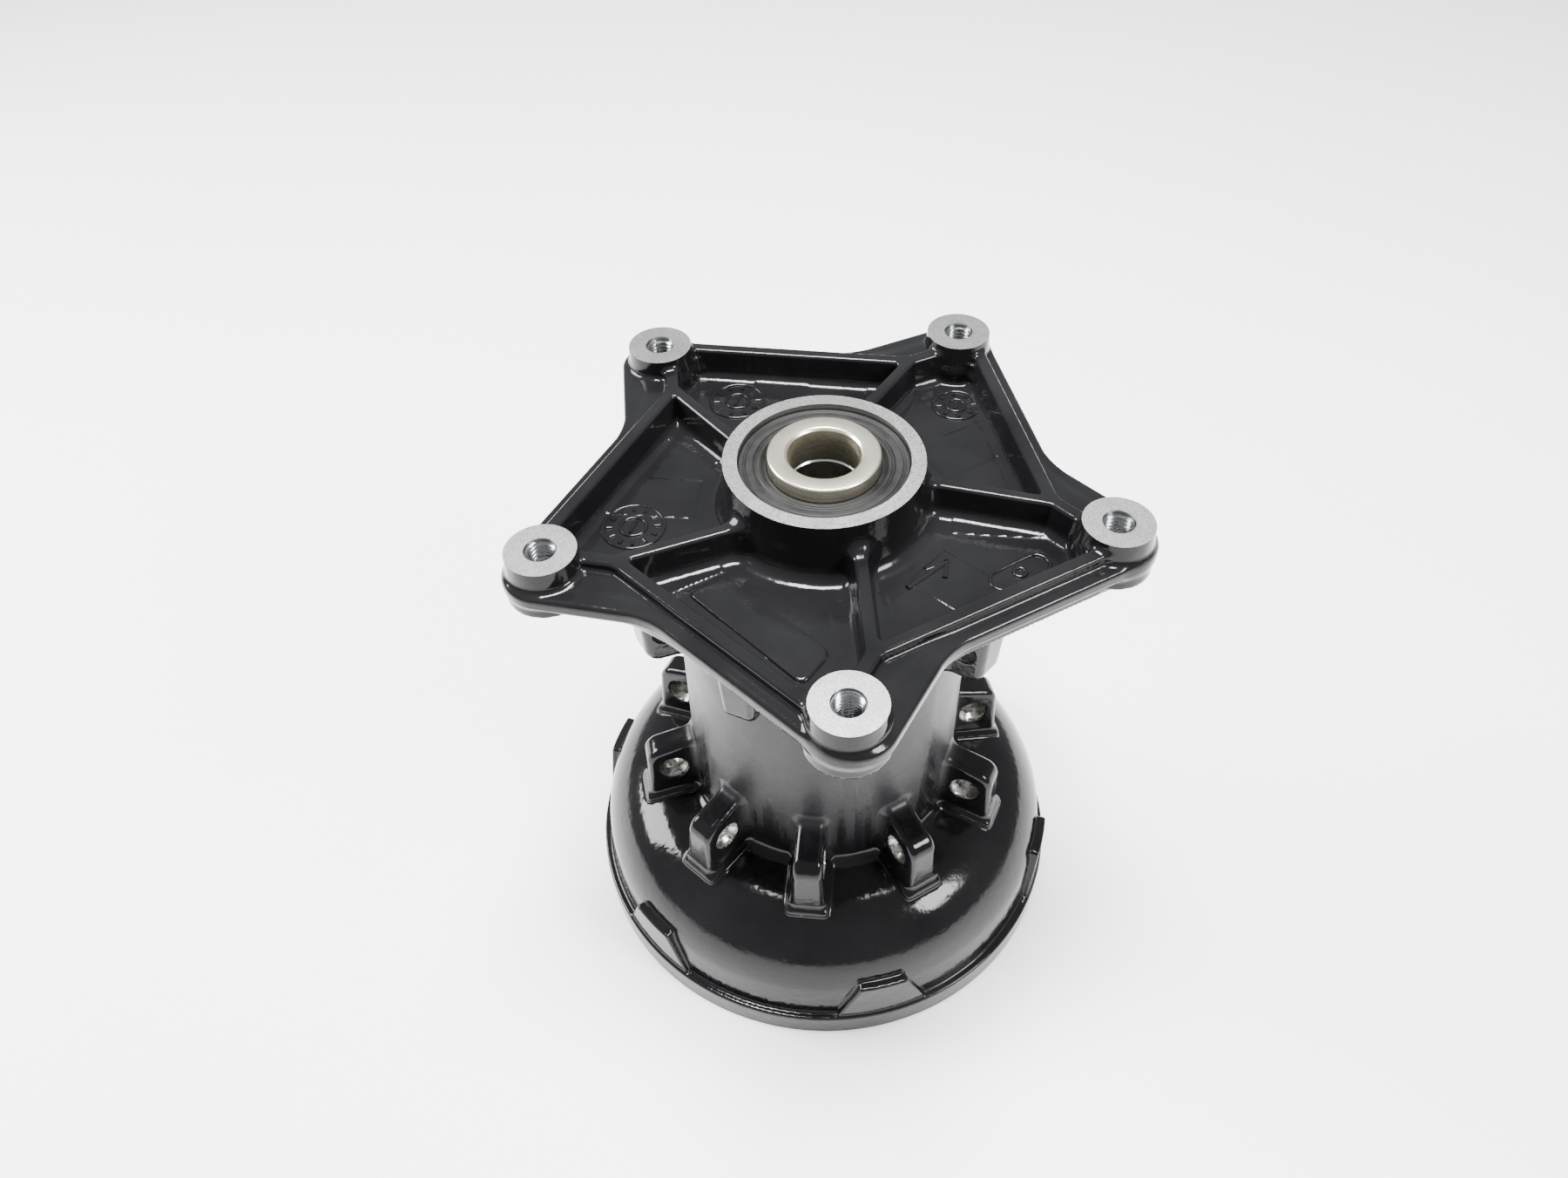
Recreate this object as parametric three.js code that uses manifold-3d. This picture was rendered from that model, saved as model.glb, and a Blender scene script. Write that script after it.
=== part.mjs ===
// Rear wheel hub of a spoked motorcycle wheel, standing on the open rim of its drum.
// Millimetres, +Z up along the axle. The origin is the centre of the drum's rim face.
// The front boss of the five-armed brake disc carrier points towards -Y.

import * as THREE from 'three';
import { mergeVertices } from 'three/addons/utils/BufferGeometryUtils.js';
import Module from 'manifold-3d';

const wasm = await Module();
wasm.setup();

// ---------------------------------------------------------------- driving dimensions

const TURN = Math.PI / 180;
const FRONT = -90;                 // direction of the first boss, degrees from +X

// Brake disc carrier: a star with five arms
const ARMS = 5;
const ARM_STEP = 360 / ARMS;
const BOSS_CIRCLE = 78.7;          // radius of the circle through the disc bolts
const BOSS_FACE_RADIUS = 9.55;
const BOSS_FOOT_RADIUS = 10.6;
const BOSS_TOP = 174;
const BOSS_BOTTOM = 158.5;
const TIP_RADIUS = 11.7;           // rounded end of an arm
const TIP_SIDE_SHIFT = 1.0;        // its centre sits a little past the boss
const NOTCH_RADIUS = 65.1;         // inner corner between two arms
const NOTCH_ANGLE = 24.8;          // degrees past a boss
const LEDGE_TOP = 168;
const LEDGE_BOTTOM = 163.5;
const PLATE_BOTTOM = 157;
const PLATE_INSET = 5;
const RIB_TOP = 171.3;
const RIM_RIB_INSET = 4.4;         // from the edge of the star to the rim rib
const RIM_RIB_WIDTH = 4;
const POCKET_FLOOR = 161.7;
const SPOKE_RIB_OFFSET = 7.35;     // the straight ribs run beside the boss radius
const SPOKE_RIB_WIDTH = 3.7;

// Bearing collar, bearings and axle parts
const COLLAR_TOP = 179.5;
const COLLAR_RADIUS = 27.5;
const COLLAR_FOOT_RADIUS = 29;
const SEAT_RADIUS = 23.5;          // 6204 bearing, 20 x 47 x 14
const SHOULDER_RADIUS = 20.5;
const BEARING_WIDTH = 14;
const BEARING_OUTER = 23.4;
const BORE_RADIUS = 10;
const BALL_RADIUS = 3.97;
const BALL_CIRCLE = 16.75;
const BALLS = 8;
const DISC_BEARING_BOTTOM = 156.5;
const DRIVE_BEARING_BOTTOM = 27;
const CIRCLIP_GROOVE_BOTTOM = 24.9;
const CIRCLIP_GROOVE_TOP = 26.7;
const CIRCLIP_GROOVE_RADIUS = 24.9;
const END_GAP = 0.1;               // along the axle, between stacked pieces
const BUSH_RADIUS = 15.4;
const BUSH_TOP = 181.5;
const SEAL_TOP = 178;
const SEAL_HEIGHT = 7;
const TUBE_RADIUS = 14;

// Barrel and drum
const BARREL_RADIUS = 44;
const BARREL_CORE_RADIUS = 38;
const CORE_BOTTOM = 56;
const CORE_TOP = 151;
const CORE_CHAMFER = 4;
const DRUM_JOIN = 51;              // the casting is parted at these two heights
const CARRIER_JOIN = 149.5;
const RIM_RADIUS = 81;
const RIM_HEIGHT = 9;
const WALL_FOOT_RADIUS = 78;
const WALL_TOP_RADIUS = 77;
const SHOULDER_START = 25;
const SHOULDER_CURVE = 20;
const DRUM_CAVITY_RADIUS = 72.5;
const CAVITY_CURVE = 14;
const HOUSING_RADIUS = 30;
const HOUSING_BOTTOM = 21;
const PADS = 6;
const PAD_ANGLE = 10.3;
const PAD_RADIUS = 80;
const PAD_TOP = 26;
const PAD_FOOT_HALF_ANGLE = 10.9;
const PAD_TOP_HALF_ANGLE = 5.6;
const VANE_WIDTH = 8;
const VANE_BOTTOM = 12;
const PADDLE_SLOT_WIDTH = 12;      // between the two rubbers of a pair

// Spoke lugs
const LUGS = 10;
const LUG_STEP = 360 / LUGS;
const DRUM_LUG_ANGLE = -8.7;
const CARRIER_LUG_ANGLE = DRUM_LUG_ANGLE + LUG_STEP / 2;
const LUG_WIDTH = 9.6;
const SPOKE_HOLE_RADIUS = 3.5;
const SPOKE_HOLE_CIRCLE = 52.3;    // distance of the spoke holes from the axle
const DRUM_SPOKE_HEIGHT = 58.5;
const CARRIER_SPOKE_HEIGHT = 145;

// Disc bolt threads
const THREAD_HOLE_RADIUS = 4.35;
const INSERT_RADIUS = 4.2;
const INSERT_BORE = 3.4;
const INSERT_LENGTH = 13;
const INSERT_DROP = 0.8;           // the insert starts below the boss face

// Facets round a full turn
const CASTING_FACETS = 40;
const RING_FACETS = 28;
const HOLE_FACETS = 10;

// ---------------------------------------------------------------- shape helpers

function signedVolume(positions, triangles) {
  const a = new THREE.Vector3();
  const b = new THREE.Vector3();
  const c = new THREE.Vector3();
  let sum = 0;
  for (let i = 0; i < triangles.length; i += 3) {
    a.fromArray(positions, triangles[i] * 3);
    b.fromArray(positions, triangles[i + 1] * 3);
    c.fromArray(positions, triangles[i + 2] * 3);
    sum += a.dot(b.cross(c));
  }
  return sum;
}

// A closed three.js geometry as a solid with its faces pointing out.
function solid(geometry) {
  const plain = geometry.clone();
  plain.deleteAttribute('normal');
  plain.deleteAttribute('uv');
  const merged = mergeVertices(plain, 1e-4);
  const triVerts = new Uint32Array(merged.index.array);
  const vertProperties = new Float32Array(merged.attributes.position.array);
  if (signedVolume(vertProperties, triVerts) < 0) triVerts.reverse();
  return new wasm.Manifold(new wasm.Mesh({ numProp: 3, vertProperties, triVerts }));
}

function geometryOf(manifold) {
  const result = manifold.getMesh();
  const geometry = new THREE.BufferGeometry();
  geometry.setAttribute('position', new THREE.BufferAttribute(result.vertProperties, 3));
  geometry.setIndex(new THREE.BufferAttribute(result.triVerts, 1));
  geometry.computeVertexNormals();
  return geometry;
}

// Ring of revolution about Z from a closed profile of [radius, height] points.
function ring(profile, facets = RING_FACETS) {
  const points = [...profile, profile[0]].map(([r, z]) => new THREE.Vector2(r, z));
  return new THREE.LatheGeometry(points, facets).rotateX(Math.PI / 2);
}

function washer(inner, outer, bottom, top, facets = RING_FACETS) {
  return ring([[outer, bottom], [outer, top], [inner, top], [inner, bottom]], facets);
}

function prism(points, bottom, top) {
  const shape = new THREE.Shape(points.map(([x, y]) => new THREE.Vector2(x, y)));
  const geometry = new THREE.ExtrudeGeometry(shape, { depth: top - bottom, bevelEnabled: false });
  return geometry.translate(0, 0, bottom);
}

function cylinder(radius, bottom, top, facets, topRadius = radius) {
  const geometry = new THREE.CylinderGeometry(topRadius, radius, top - bottom, facets);
  return geometry.rotateX(Math.PI / 2).translate(0, 0, (top + bottom) / 2);
}

// Bar of rectangular section from one plan point to another.
function bar([x1, y1], [x2, y2], width, bottom, top) {
  const length = Math.hypot(x2 - x1, y2 - y1);
  return new THREE.BoxGeometry(length, width, top - bottom)
    .rotateZ(Math.atan2(y2 - y1, x2 - x1))
    .translate((x1 + x2) / 2, (y1 + y2) / 2, (top + bottom) / 2);
}

// Plate whose outline is drawn as [radius, height], set across a radius of the hub.
function radialPlate(outline, width) {
  return prism(outline, -width / 2, width / 2).rotateX(Math.PI / 2);
}

function turned(geometry, degrees) {
  return geometry.clone().rotateZ(degrees * TURN);
}

// The same solid repeated at equal angles, joined into one.
function repeated(geometry, count, first) {
  const copies = [];
  for (let i = 0; i < count; i++) {
    copies.push(solid(turned(geometry, FRONT + first + (i * 360) / count)));
  }
  return wasm.Manifold.union(copies);
}

// Points along an arc in a plane, angles in degrees.
function arc(cx, cy, radius, from, to, steps) {
  const points = [];
  for (let i = 0; i <= steps; i++) {
    const angle = (from + ((to - from) * i) / steps) * TURN;
    points.push([cx + radius * Math.cos(angle), cy + radius * Math.sin(angle)]);
  }
  return points;
}

function rotatePoint([x, y], degrees) {
  const c = Math.cos(degrees * TURN);
  const s = Math.sin(degrees * TURN);
  return [x * c - y * s, x * s + y * c];
}

// ---------------------------------------------------------------- outline of the star

const TIP_CENTRE = [BOSS_CIRCLE, TIP_SIDE_SHIFT];
const NOTCH = rotatePoint([NOTCH_RADIUS, 0], NOTCH_ANGLE);
const PREVIOUS_NOTCH = rotatePoint(NOTCH, -ARM_STEP);

// Direction from the tip's centre to where a line from a point touches the tip, in degrees.
function touchAngle([px, py], side) {
  const dx = px - TIP_CENTRE[0];
  const dy = py - TIP_CENTRE[1];
  return Math.atan2(dy, dx) / TURN + (side * Math.acos(TIP_RADIUS / Math.hypot(dx, dy))) / TURN;
}

const LONG_EDGE_ANGLE = touchAngle(PREVIOUS_NOTCH, 1);   // normal of the long edge
const SHORT_EDGE_ANGLE = touchAngle(NOTCH, -1);          // normal of the short edge

function unit(degrees) {
  return [Math.cos(degrees * TURN), Math.sin(degrees * TURN)];
}

function edgeDistance(degrees, inset) {
  const [nx, ny] = unit(degrees);
  return nx * TIP_CENTRE[0] + ny * TIP_CENTRE[1] + TIP_RADIUS - inset;
}

// Where the line with normal a (degrees) and distance da meets the line with normal b.
function crossing(a, da, b, db) {
  const [ax, ay] = unit(a);
  const [bx, by] = unit(b);
  const det = ax * by - ay * bx;
  return [(da * by - db * ay) / det, (db * ax - da * bx) / det];
}

function starOutline(inset) {
  const points = [];
  for (let i = 0; i < ARMS; i++) {
    const tip = arc(...TIP_CENTRE, TIP_RADIUS - inset, LONG_EDGE_ANGLE, SHORT_EDGE_ANGLE, 6);
    const notch = crossing(
      SHORT_EDGE_ANGLE, edgeDistance(SHORT_EDGE_ANGLE, inset),
      LONG_EDGE_ANGLE + ARM_STEP, edgeDistance(LONG_EDGE_ANGLE, inset));
    for (const point of [...tip, notch]) points.push(rotatePoint(point, FRONT + i * ARM_STEP));
  }
  return points;
}

// Everything inside the rim rib: the area of the five pockets before the ribs cross it.
function pocketOutline() {
  const inset = RIM_RIB_INSET + RIM_RIB_WIDTH;
  const distance = edgeDistance(LONG_EDGE_ANGLE, inset);
  const besideBoss = BOSS_CIRCLE - BOSS_FACE_RADIUS - 0.4;
  const points = [];
  for (let i = 0; i < ARMS; i++) {
    const corner = crossing(LONG_EDGE_ANGLE, distance, 0, besideBoss);
    const neck = [besideBoss - 3, SPOKE_RIB_OFFSET - 4];
    const node = crossing(LONG_EDGE_ANGLE + ARM_STEP, distance, 90, SPOKE_RIB_OFFSET);
    const sector = [corner, [besideBoss, -1.6], neck, node];
    for (const point of sector) points.push(rotatePoint(point, FRONT + i * ARM_STEP));
  }
  return points;
}

// ---------------------------------------------------------------- the casting

function hubBodyProfile() {
  const outerWall = [
    [RIM_RADIUS, 0],
    [RIM_RADIUS, RIM_HEIGHT],
    [WALL_FOOT_RADIUS, RIM_HEIGHT + 0.8],
    ...arc(WALL_TOP_RADIUS - SHOULDER_CURVE, SHOULDER_START, SHOULDER_CURVE, 0, 90, 5),
    [BARREL_RADIUS + 4.5, 46.8],
    [BARREL_RADIUS + 1, 49.5],
    [BARREL_RADIUS, 55],
    [BARREL_RADIUS, 148],
    [BARREL_RADIUS + 4, PLATE_BOTTOM + 1],
    [COLLAR_FOOT_RADIUS, POCKET_FLOOR - 0.5],
    [COLLAR_FOOT_RADIUS, POCKET_FLOOR + 2],
    [COLLAR_RADIUS, POCKET_FLOOR + 8],
    [COLLAR_RADIUS, COLLAR_TOP],
  ];
  const driveSeatTop = DRIVE_BEARING_BOTTOM + BEARING_WIDTH + END_GAP;
  const bore = [
    [SEAT_RADIUS, COLLAR_TOP],
    [SEAT_RADIUS, DISC_BEARING_BOTTOM - END_GAP],
    [SHOULDER_RADIUS, DISC_BEARING_BOTTOM - END_GAP],
    [SHOULDER_RADIUS, CORE_TOP],
    [BARREL_CORE_RADIUS - CORE_CHAMFER, CORE_TOP],
    [BARREL_CORE_RADIUS, CORE_TOP - CORE_CHAMFER],
    [BARREL_CORE_RADIUS, CORE_BOTTOM + CORE_CHAMFER],
    [BARREL_CORE_RADIUS - CORE_CHAMFER, CORE_BOTTOM],
    [SHOULDER_RADIUS, CORE_BOTTOM],
    [SHOULDER_RADIUS, driveSeatTop],
    [SEAT_RADIUS, driveSeatTop],
    [SEAT_RADIUS, CIRCLIP_GROOVE_TOP],
    [CIRCLIP_GROOVE_RADIUS, CIRCLIP_GROOVE_TOP],
    [CIRCLIP_GROOVE_RADIUS, CIRCLIP_GROOVE_BOTTOM],
    [SEAT_RADIUS, CIRCLIP_GROOVE_BOTTOM],
    [SEAT_RADIUS, HOUSING_BOTTOM],
  ];
  const cavity = [
    [HOUSING_RADIUS, HOUSING_BOTTOM],
    [HOUSING_RADIUS + 1, 39],
    ...arc(DRUM_CAVITY_RADIUS - CAVITY_CURVE, SHOULDER_START, CAVITY_CURVE, 90, 0, 3),
    [DRUM_CAVITY_RADIUS + 2, 0],
  ];
  return [...outerWall, ...bore, ...cavity];
}

// Trapezoid pad standing on the drum's rim band, with a curved outer face.
function pad() {
  const steps = 4;
  const inner = DRUM_CAVITY_RADIUS + 2.5;
  const vertices = [];
  for (let i = 0; i <= steps; i++) {
    const share = (2 * i) / steps - 1;
    const foot = unit(PAD_FOOT_HALF_ANGLE * share);
    const top = unit(PAD_TOP_HALF_ANGLE * share);
    vertices.push([foot[0] * PAD_RADIUS, foot[1] * PAD_RADIUS, RIM_HEIGHT - 1]);
    vertices.push([top[0] * PAD_RADIUS, top[1] * PAD_RADIUS, PAD_TOP]);
    vertices.push([top[0] * inner, top[1] * inner, PAD_TOP + 0.6]);
    vertices.push([foot[0] * inner, foot[1] * inner, RIM_HEIGHT - 1]);
  }
  const triangles = [0, 1, 2, 0, 2, 3];
  for (let i = 0; i < steps; i++) {
    for (let side = 0; side < 4; side++) {
      const a = i * 4 + side;
      const b = i * 4 + ((side + 1) % 4);
      triangles.push(a, a + 4, b + 4, a, b + 4, b);
    }
  }
  const last = steps * 4;
  triangles.push(last, last + 2, last + 1, last, last + 3, last + 2);
  const geometry = new THREE.BufferGeometry();
  geometry.setAttribute('position', new THREE.Float32BufferAttribute(vertices.flat(), 3));
  geometry.setIndex(triangles);
  return geometry;
}

// Lug on the drum's shoulder. Its back falls a little towards its outer corner.
function drumLug() {
  const inside = BARREL_CORE_RADIUS + 2;
  return radialPlate([
    [inside, 43], [61.5, 43], [60.6, 49], [60.2, 62], [59, 64.8], [56, 66.6],
    [50, 68.2], [inside, 69.5],
  ], LUG_WIDTH);
}

// Lug hanging under the disc carrier.
function carrierLug() {
  const inside = BARREL_CORE_RADIUS + 2;
  return radialPlate([
    [inside, PLATE_BOTTOM + 2], [inside, 130], [50, 131.5], [56, 134.5], [59, 139],
    [59, PLATE_BOTTOM + 2],
  ], LUG_WIDTH);
}

// Hole for a spoke, running straight across a lug.
function spokeHole(height) {
  return new THREE.CylinderGeometry(SPOKE_HOLE_RADIUS, SPOKE_HOLE_RADIUS, LUG_WIDTH + 6, HOLE_FACETS)
    .translate(SPOKE_HOLE_CIRCLE, 0, height);
}

// Vane of the cush drive, hanging from the drum's ceiling between two rubbers.
function vane() {
  return radialPlate([
    [HOUSING_RADIUS - 2, VANE_BOTTOM], [DRUM_CAVITY_RADIUS + 1, VANE_BOTTOM],
    [DRUM_CAVITY_RADIUS + 1, SHOULDER_START], [66, 37], [58, 40], [HOUSING_RADIUS - 2, 40],
  ], VANE_WIDTH);
}

function discCarrier() {
  const flange = solid(prism(starOutline(0), LEDGE_BOTTOM, LEDGE_TOP));
  const plate = solid(prism(starOutline(PLATE_INSET), PLATE_BOTTOM, LEDGE_BOTTOM + 0.5));
  const pockets = solid(prism(pocketOutline(), POCKET_FLOOR, RIB_TOP + 5));
  const rimDistance = edgeDistance(LONG_EDGE_ANGLE, RIM_RIB_INSET + RIM_RIB_WIDTH / 2);
  const ribStart = crossing(LONG_EDGE_ANGLE + ARM_STEP, rimDistance, 90, SPOKE_RIB_OFFSET + 1);
  const ribEnd = crossing(LONG_EDGE_ANGLE, rimDistance, LONG_EDGE_ANGLE + 90, 57);
  const ribBase = POCKET_FLOOR - 1;
  const spokeRib = bar([COLLAR_RADIUS - 1, SPOKE_RIB_OFFSET], [60, SPOKE_RIB_OFFSET],
    SPOKE_RIB_WIDTH, ribBase, RIB_TOP);
  const neck = bar([59, 9], [BOSS_CIRCLE - 7, 1.8], 4.2, ribBase, RIB_TOP);
  const rimRib = bar(rotatePoint(ribStart, -ARM_STEP), ribEnd, RIM_RIB_WIDTH, ribBase, RIB_TOP);
  const foot = cylinder(BOSS_FOOT_RADIUS, BOSS_BOTTOM, RIB_TOP, 24).translate(BOSS_CIRCLE, 0, 0);
  const head = cylinder(BOSS_FOOT_RADIUS, RIB_TOP - 0.5, BOSS_TOP, 24, BOSS_FACE_RADIUS)
    .translate(BOSS_CIRCLE, 0, 0);
  let star = flange.add(plate).subtract(pockets);
  for (const piece of [spokeRib, neck, rimRib, foot, head]) {
    star = star.add(repeated(piece, ARMS, 0));
  }
  return star;
}

function hubCasting() {
  const clearBore = solid(washer(1, SEAT_RADIUS, 0, COLLAR_TOP + 1, CASTING_FACETS))
    .add(solid(cylinder(2, 0, COLLAR_TOP + 1, 8)));
  let casting = discCarrier().subtract(clearBore).add(solid(ring(hubBodyProfile(), CASTING_FACETS)));
  casting = casting
    .add(repeated(pad(), PADS, PAD_ANGLE))
    .add(repeated(vane(), PADS, PAD_ANGLE))
    .add(repeated(drumLug(), LUGS, DRUM_LUG_ANGLE))
    .add(repeated(carrierLug(), LUGS, CARRIER_LUG_ANGLE));
  const threadHole = cylinder(THREAD_HOLE_RADIUS, BOSS_BOTTOM - 3, BOSS_TOP + 1, 16)
    .translate(BOSS_CIRCLE, 0, 0);
  return casting
    .subtract(repeated(threadHole, ARMS, 0))
    .subtract(repeated(spokeHole(DRUM_SPOKE_HEIGHT), LUGS, DRUM_LUG_ANGLE))
    .subtract(repeated(spokeHole(CARRIER_SPOKE_HEIGHT), LUGS, CARRIER_LUG_ANGLE));
}

// The slice of the casting between two heights.
function section(casting, bottom, top) {
  return casting.trimByPlane([0, 0, 1], bottom).trimByPlane([0, 0, -1], -top);
}

// ---------------------------------------------------------------- bearings, seal and axle parts

const GROOVE = 3.4;                // half width of the ball groove
const LAND_INNER = 14.1;
const LAND_OUTER = 19.4;
const CHAMFER = 0.6;

function outerRing(bottom) {
  const middle = bottom + BEARING_WIDTH / 2;
  const top = bottom + BEARING_WIDTH;
  return ring([
    [BEARING_OUTER - CHAMFER, bottom], [BEARING_OUTER, bottom + CHAMFER],
    [BEARING_OUTER, top - CHAMFER], [BEARING_OUTER - CHAMFER, top], [LAND_OUTER, top],
    [LAND_OUTER, middle + GROOVE], [20.4, middle + 2.3], [21, middle],
    [20.4, middle - 2.3], [LAND_OUTER, middle - GROOVE], [LAND_OUTER, bottom],
  ]);
}

function innerRing(bottom) {
  const middle = bottom + BEARING_WIDTH / 2;
  const top = bottom + BEARING_WIDTH;
  return ring([
    [LAND_INNER, bottom], [LAND_INNER, middle - GROOVE], [13, middle - 2.3], [12.5, middle],
    [13, middle + 2.3], [LAND_INNER, middle + GROOVE], [LAND_INNER, top],
    [BORE_RADIUS, top], [BORE_RADIUS, bottom],
  ]);
}

function cage(bottom) {
  const middle = bottom + BEARING_WIDTH / 2;
  const halfWidth = 5.1;
  const band = solid(washer(15.6, 17.9, middle - halfWidth, middle + halfWidth));
  const pocket = new THREE.CylinderGeometry(BALL_RADIUS + 0.3, BALL_RADIUS + 0.3, 8, 10)
    .rotateZ(Math.PI / 2)
    .translate(BALL_CIRCLE, 0, middle);
  return band.subtract(repeated(pocket, BALLS, 0));
}

function shaftSeal() {
  const bottom = SEAL_TOP - SEAL_HEIGHT;
  const outside = SEAT_RADIUS - 0.1;
  return ring([
    [outside - 0.5, bottom], [outside, bottom + 0.5], [outside, SEAL_TOP - 0.4],
    [outside - 0.4, SEAL_TOP], [18.6, SEAL_TOP], [17.4, SEAL_TOP - 0.7], [16, SEAL_TOP - 0.2],
    [BUSH_RADIUS + 0.2, SEAL_TOP - 1], [BUSH_RADIUS + 0.8, SEAL_TOP - 3], [21.6, SEAL_TOP - 3.5],
    [21.6, bottom],
  ]);
}

function spacerBush() {
  const bottom = DISC_BEARING_BOTTOM + BEARING_WIDTH + END_GAP;
  return ring([
    [13.4, bottom], [BUSH_RADIUS, bottom + 1.6], [BUSH_RADIUS, BUSH_TOP - CHAMFER],
    [BUSH_RADIUS - CHAMFER, BUSH_TOP], [BORE_RADIUS + CHAMFER, BUSH_TOP],
    [BORE_RADIUS, BUSH_TOP - CHAMFER], [BORE_RADIUS, bottom],
  ]);
}

// Internal circlip: an open ring with two eyes, in the groove under the drive bearing.
function circlip() {
  const bottom = CIRCLIP_GROOVE_BOTTOM + 0.2;
  const top = CIRCLIP_GROOVE_TOP - 0.2;
  const gap = 16;                  // half the opening, in degrees
  const eye = 12;                  // length of each eye, in degrees
  const outside = CIRCLIP_GROOVE_RADIUS - 0.3;
  const inside = SEAT_RADIUS - 1.6;
  const eyeInside = SEAT_RADIUS - 4.6;
  const outline = [
    ...arc(0, 0, outside, gap, 360 - gap, 26),
    ...arc(0, 0, eyeInside, 360 - gap, 360 - gap - eye, 1),
    ...arc(0, 0, inside, 356 - gap - eye, gap + eye + 4, 20),
    ...arc(0, 0, eyeInside, gap + eye, gap, 1),
  ];
  return prism(outline, bottom, top);
}

// Cush drive rubber: the lobe between a vane and the slot for a paddle of the sprocket carrier.
// The slot's middle lies along +X and the vane is on the side of +Y (side 1) or -Y (side -1).
function cushRubber(side) {
  const inner = HOUSING_RADIUS + 2;
  const outer = DRUM_CAVITY_RADIUS - 2;
  const vaneGap = VANE_WIDTH / 2 + 0.5;
  const slotEdge = (radius) => Math.asin(PADDLE_SLOT_WIDTH / 2 / radius) / TURN;
  const vaneEdge = (radius) => 180 / PADS - Math.asin(vaneGap / radius) / TURN;
  const outline = [
    ...arc(0, 0, outer, slotEdge(outer), vaneEdge(outer), 3),
    ...arc(0, 0, inner, vaneEdge(inner), slotEdge(inner), 1),
  ].map(([x, y]) => [x, y * side]);
  const envelope = solid(ring([
    [inner - 1, 13], [outer, 13], [outer - 0.5, 26], [outer - 12, 37.5], [inner - 1, 37.5],
  ], CASTING_FACETS));
  return solid(prism(outline, 12, 39)).intersect(envelope);
}

// ---------------------------------------------------------------- assembly

const MATERIALS = {
  paint: { color: 0x0c0c0e, roughness: 0.12, metalness: 0.1 },
  bushSteel: { color: 0xc9c3a8, roughness: 0.35, metalness: 1 },
  bearingSteel: { color: 0xb4b6ba, roughness: 0.25, metalness: 1 },
  threadSteel: { color: 0xcfd2d4, roughness: 0.3, metalness: 1 },
  darkSteel: { color: 0x4a4a4c, roughness: 0.45, metalness: 1 },
  tubeSteel: { color: 0x6a665c, roughness: 0.5, metalness: 1 },
  sealRubber: { color: 0x111112, roughness: 0.5, metalness: 0 },
  cageNylon: { color: 0x6f6044, roughness: 0.6, metalness: 0 },
  cushRubber: { color: 0x18181a, roughness: 0.8, metalness: 0 },
};

const hub = new THREE.Group();

function place(name, shape, finish, parent = hub) {
  const geometry = shape.isBufferGeometry ? geometryOf(solid(shape)) : geometryOf(shape);
  const mesh = new THREE.Mesh(geometry, new THREE.MeshStandardMaterial(MATERIALS[finish]));
  mesh.name = name;
  parent.add(mesh);
  return mesh;
}

function placeThreadInserts() {
  const top = BOSS_TOP - INSERT_DROP;
  const coil = washer(INSERT_BORE, INSERT_RADIUS, top - INSERT_LENGTH, top, 16);
  for (let i = 0; i < ARMS; i++) {
    const insert = place(`thread_insert_${i + 1}`, coil, 'threadSteel');
    const [x, y] = rotatePoint([BOSS_CIRCLE, 0], FRONT + i * ARM_STEP);
    insert.position.set(x, y, 0);
  }
}

function placeBearing(side, bottom) {
  const bearing = new THREE.Group();
  const middle = bottom + BEARING_WIDTH / 2;
  const shield = washer(LAND_INNER + 0.3, LAND_OUTER - 0.2, -0.4, 0.4);
  place(`${side}_bearing_outer_ring`, outerRing(bottom), 'bearingSteel', bearing);
  place(`${side}_bearing_inner_ring`, innerRing(bottom), 'bearingSteel', bearing);
  place(`${side}_bearing_cage`, cage(bottom), 'cageNylon', bearing);
  place(`${side}_bearing_lower_seal`, shield, 'sealRubber', bearing).position.z = middle - 6;
  place(`${side}_bearing_upper_seal`, shield, 'sealRubber', bearing).position.z = middle + 6;
  const ballShape = new THREE.SphereGeometry(BALL_RADIUS, 8, 6);
  for (let i = 0; i < BALLS; i++) {
    const ball = place(`${side}_bearing_ball_${i + 1}`, ballShape, 'bearingSteel', bearing);
    const [x, y] = rotatePoint([BALL_CIRCLE, 0], FRONT + (i * 360) / BALLS);
    ball.position.set(x, y, middle);
  }
  hub.add(bearing);
}

function placeCushRubbers() {
  for (let i = 0; i < 2 * PADS; i++) {
    const rubber = place(`cush_rubber_${i + 1}`, cushRubber(i % 2 ? 1 : -1), 'cushRubber');
    rubber.rotation.z = (FRONT + PAD_ANGLE + ((Math.floor(i / 2) + 0.5) * 360) / PADS) * TURN;
  }
}

function placeDistanceTube() {
  const bottom = DRIVE_BEARING_BOTTOM + BEARING_WIDTH + END_GAP;
  const top = DISC_BEARING_BOTTOM - END_GAP;
  place('distance_tube', washer(BORE_RADIUS, TUBE_RADIUS, bottom, top), 'tubeSteel');
}

const casting = hubCasting();
place('disc_carrier', section(casting, CARRIER_JOIN, COLLAR_TOP + 1), 'paint');
place('spoke_barrel', section(casting, DRUM_JOIN, CARRIER_JOIN), 'paint');
place('cush_drum', section(casting, -1, DRUM_JOIN), 'paint');
placeThreadInserts();
placeBearing('disc', DISC_BEARING_BOTTOM);
placeBearing('drive', DRIVE_BEARING_BOTTOM);
placeDistanceTube();
place('spacer_bush', spacerBush(), 'bushSteel');
place('disc_side_shaft_seal', shaftSeal(), 'sealRubber');
place('drive_bearing_circlip', circlip(), 'darkSteel');
placeCushRubbers();

export default hub;
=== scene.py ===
"""Looks of the motorcycle rear wheel hub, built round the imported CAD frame. Metres, +Z up."""

import math

import bmesh
import bpy
import numpy as np
from mathutils import Matrix, Vector


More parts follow.
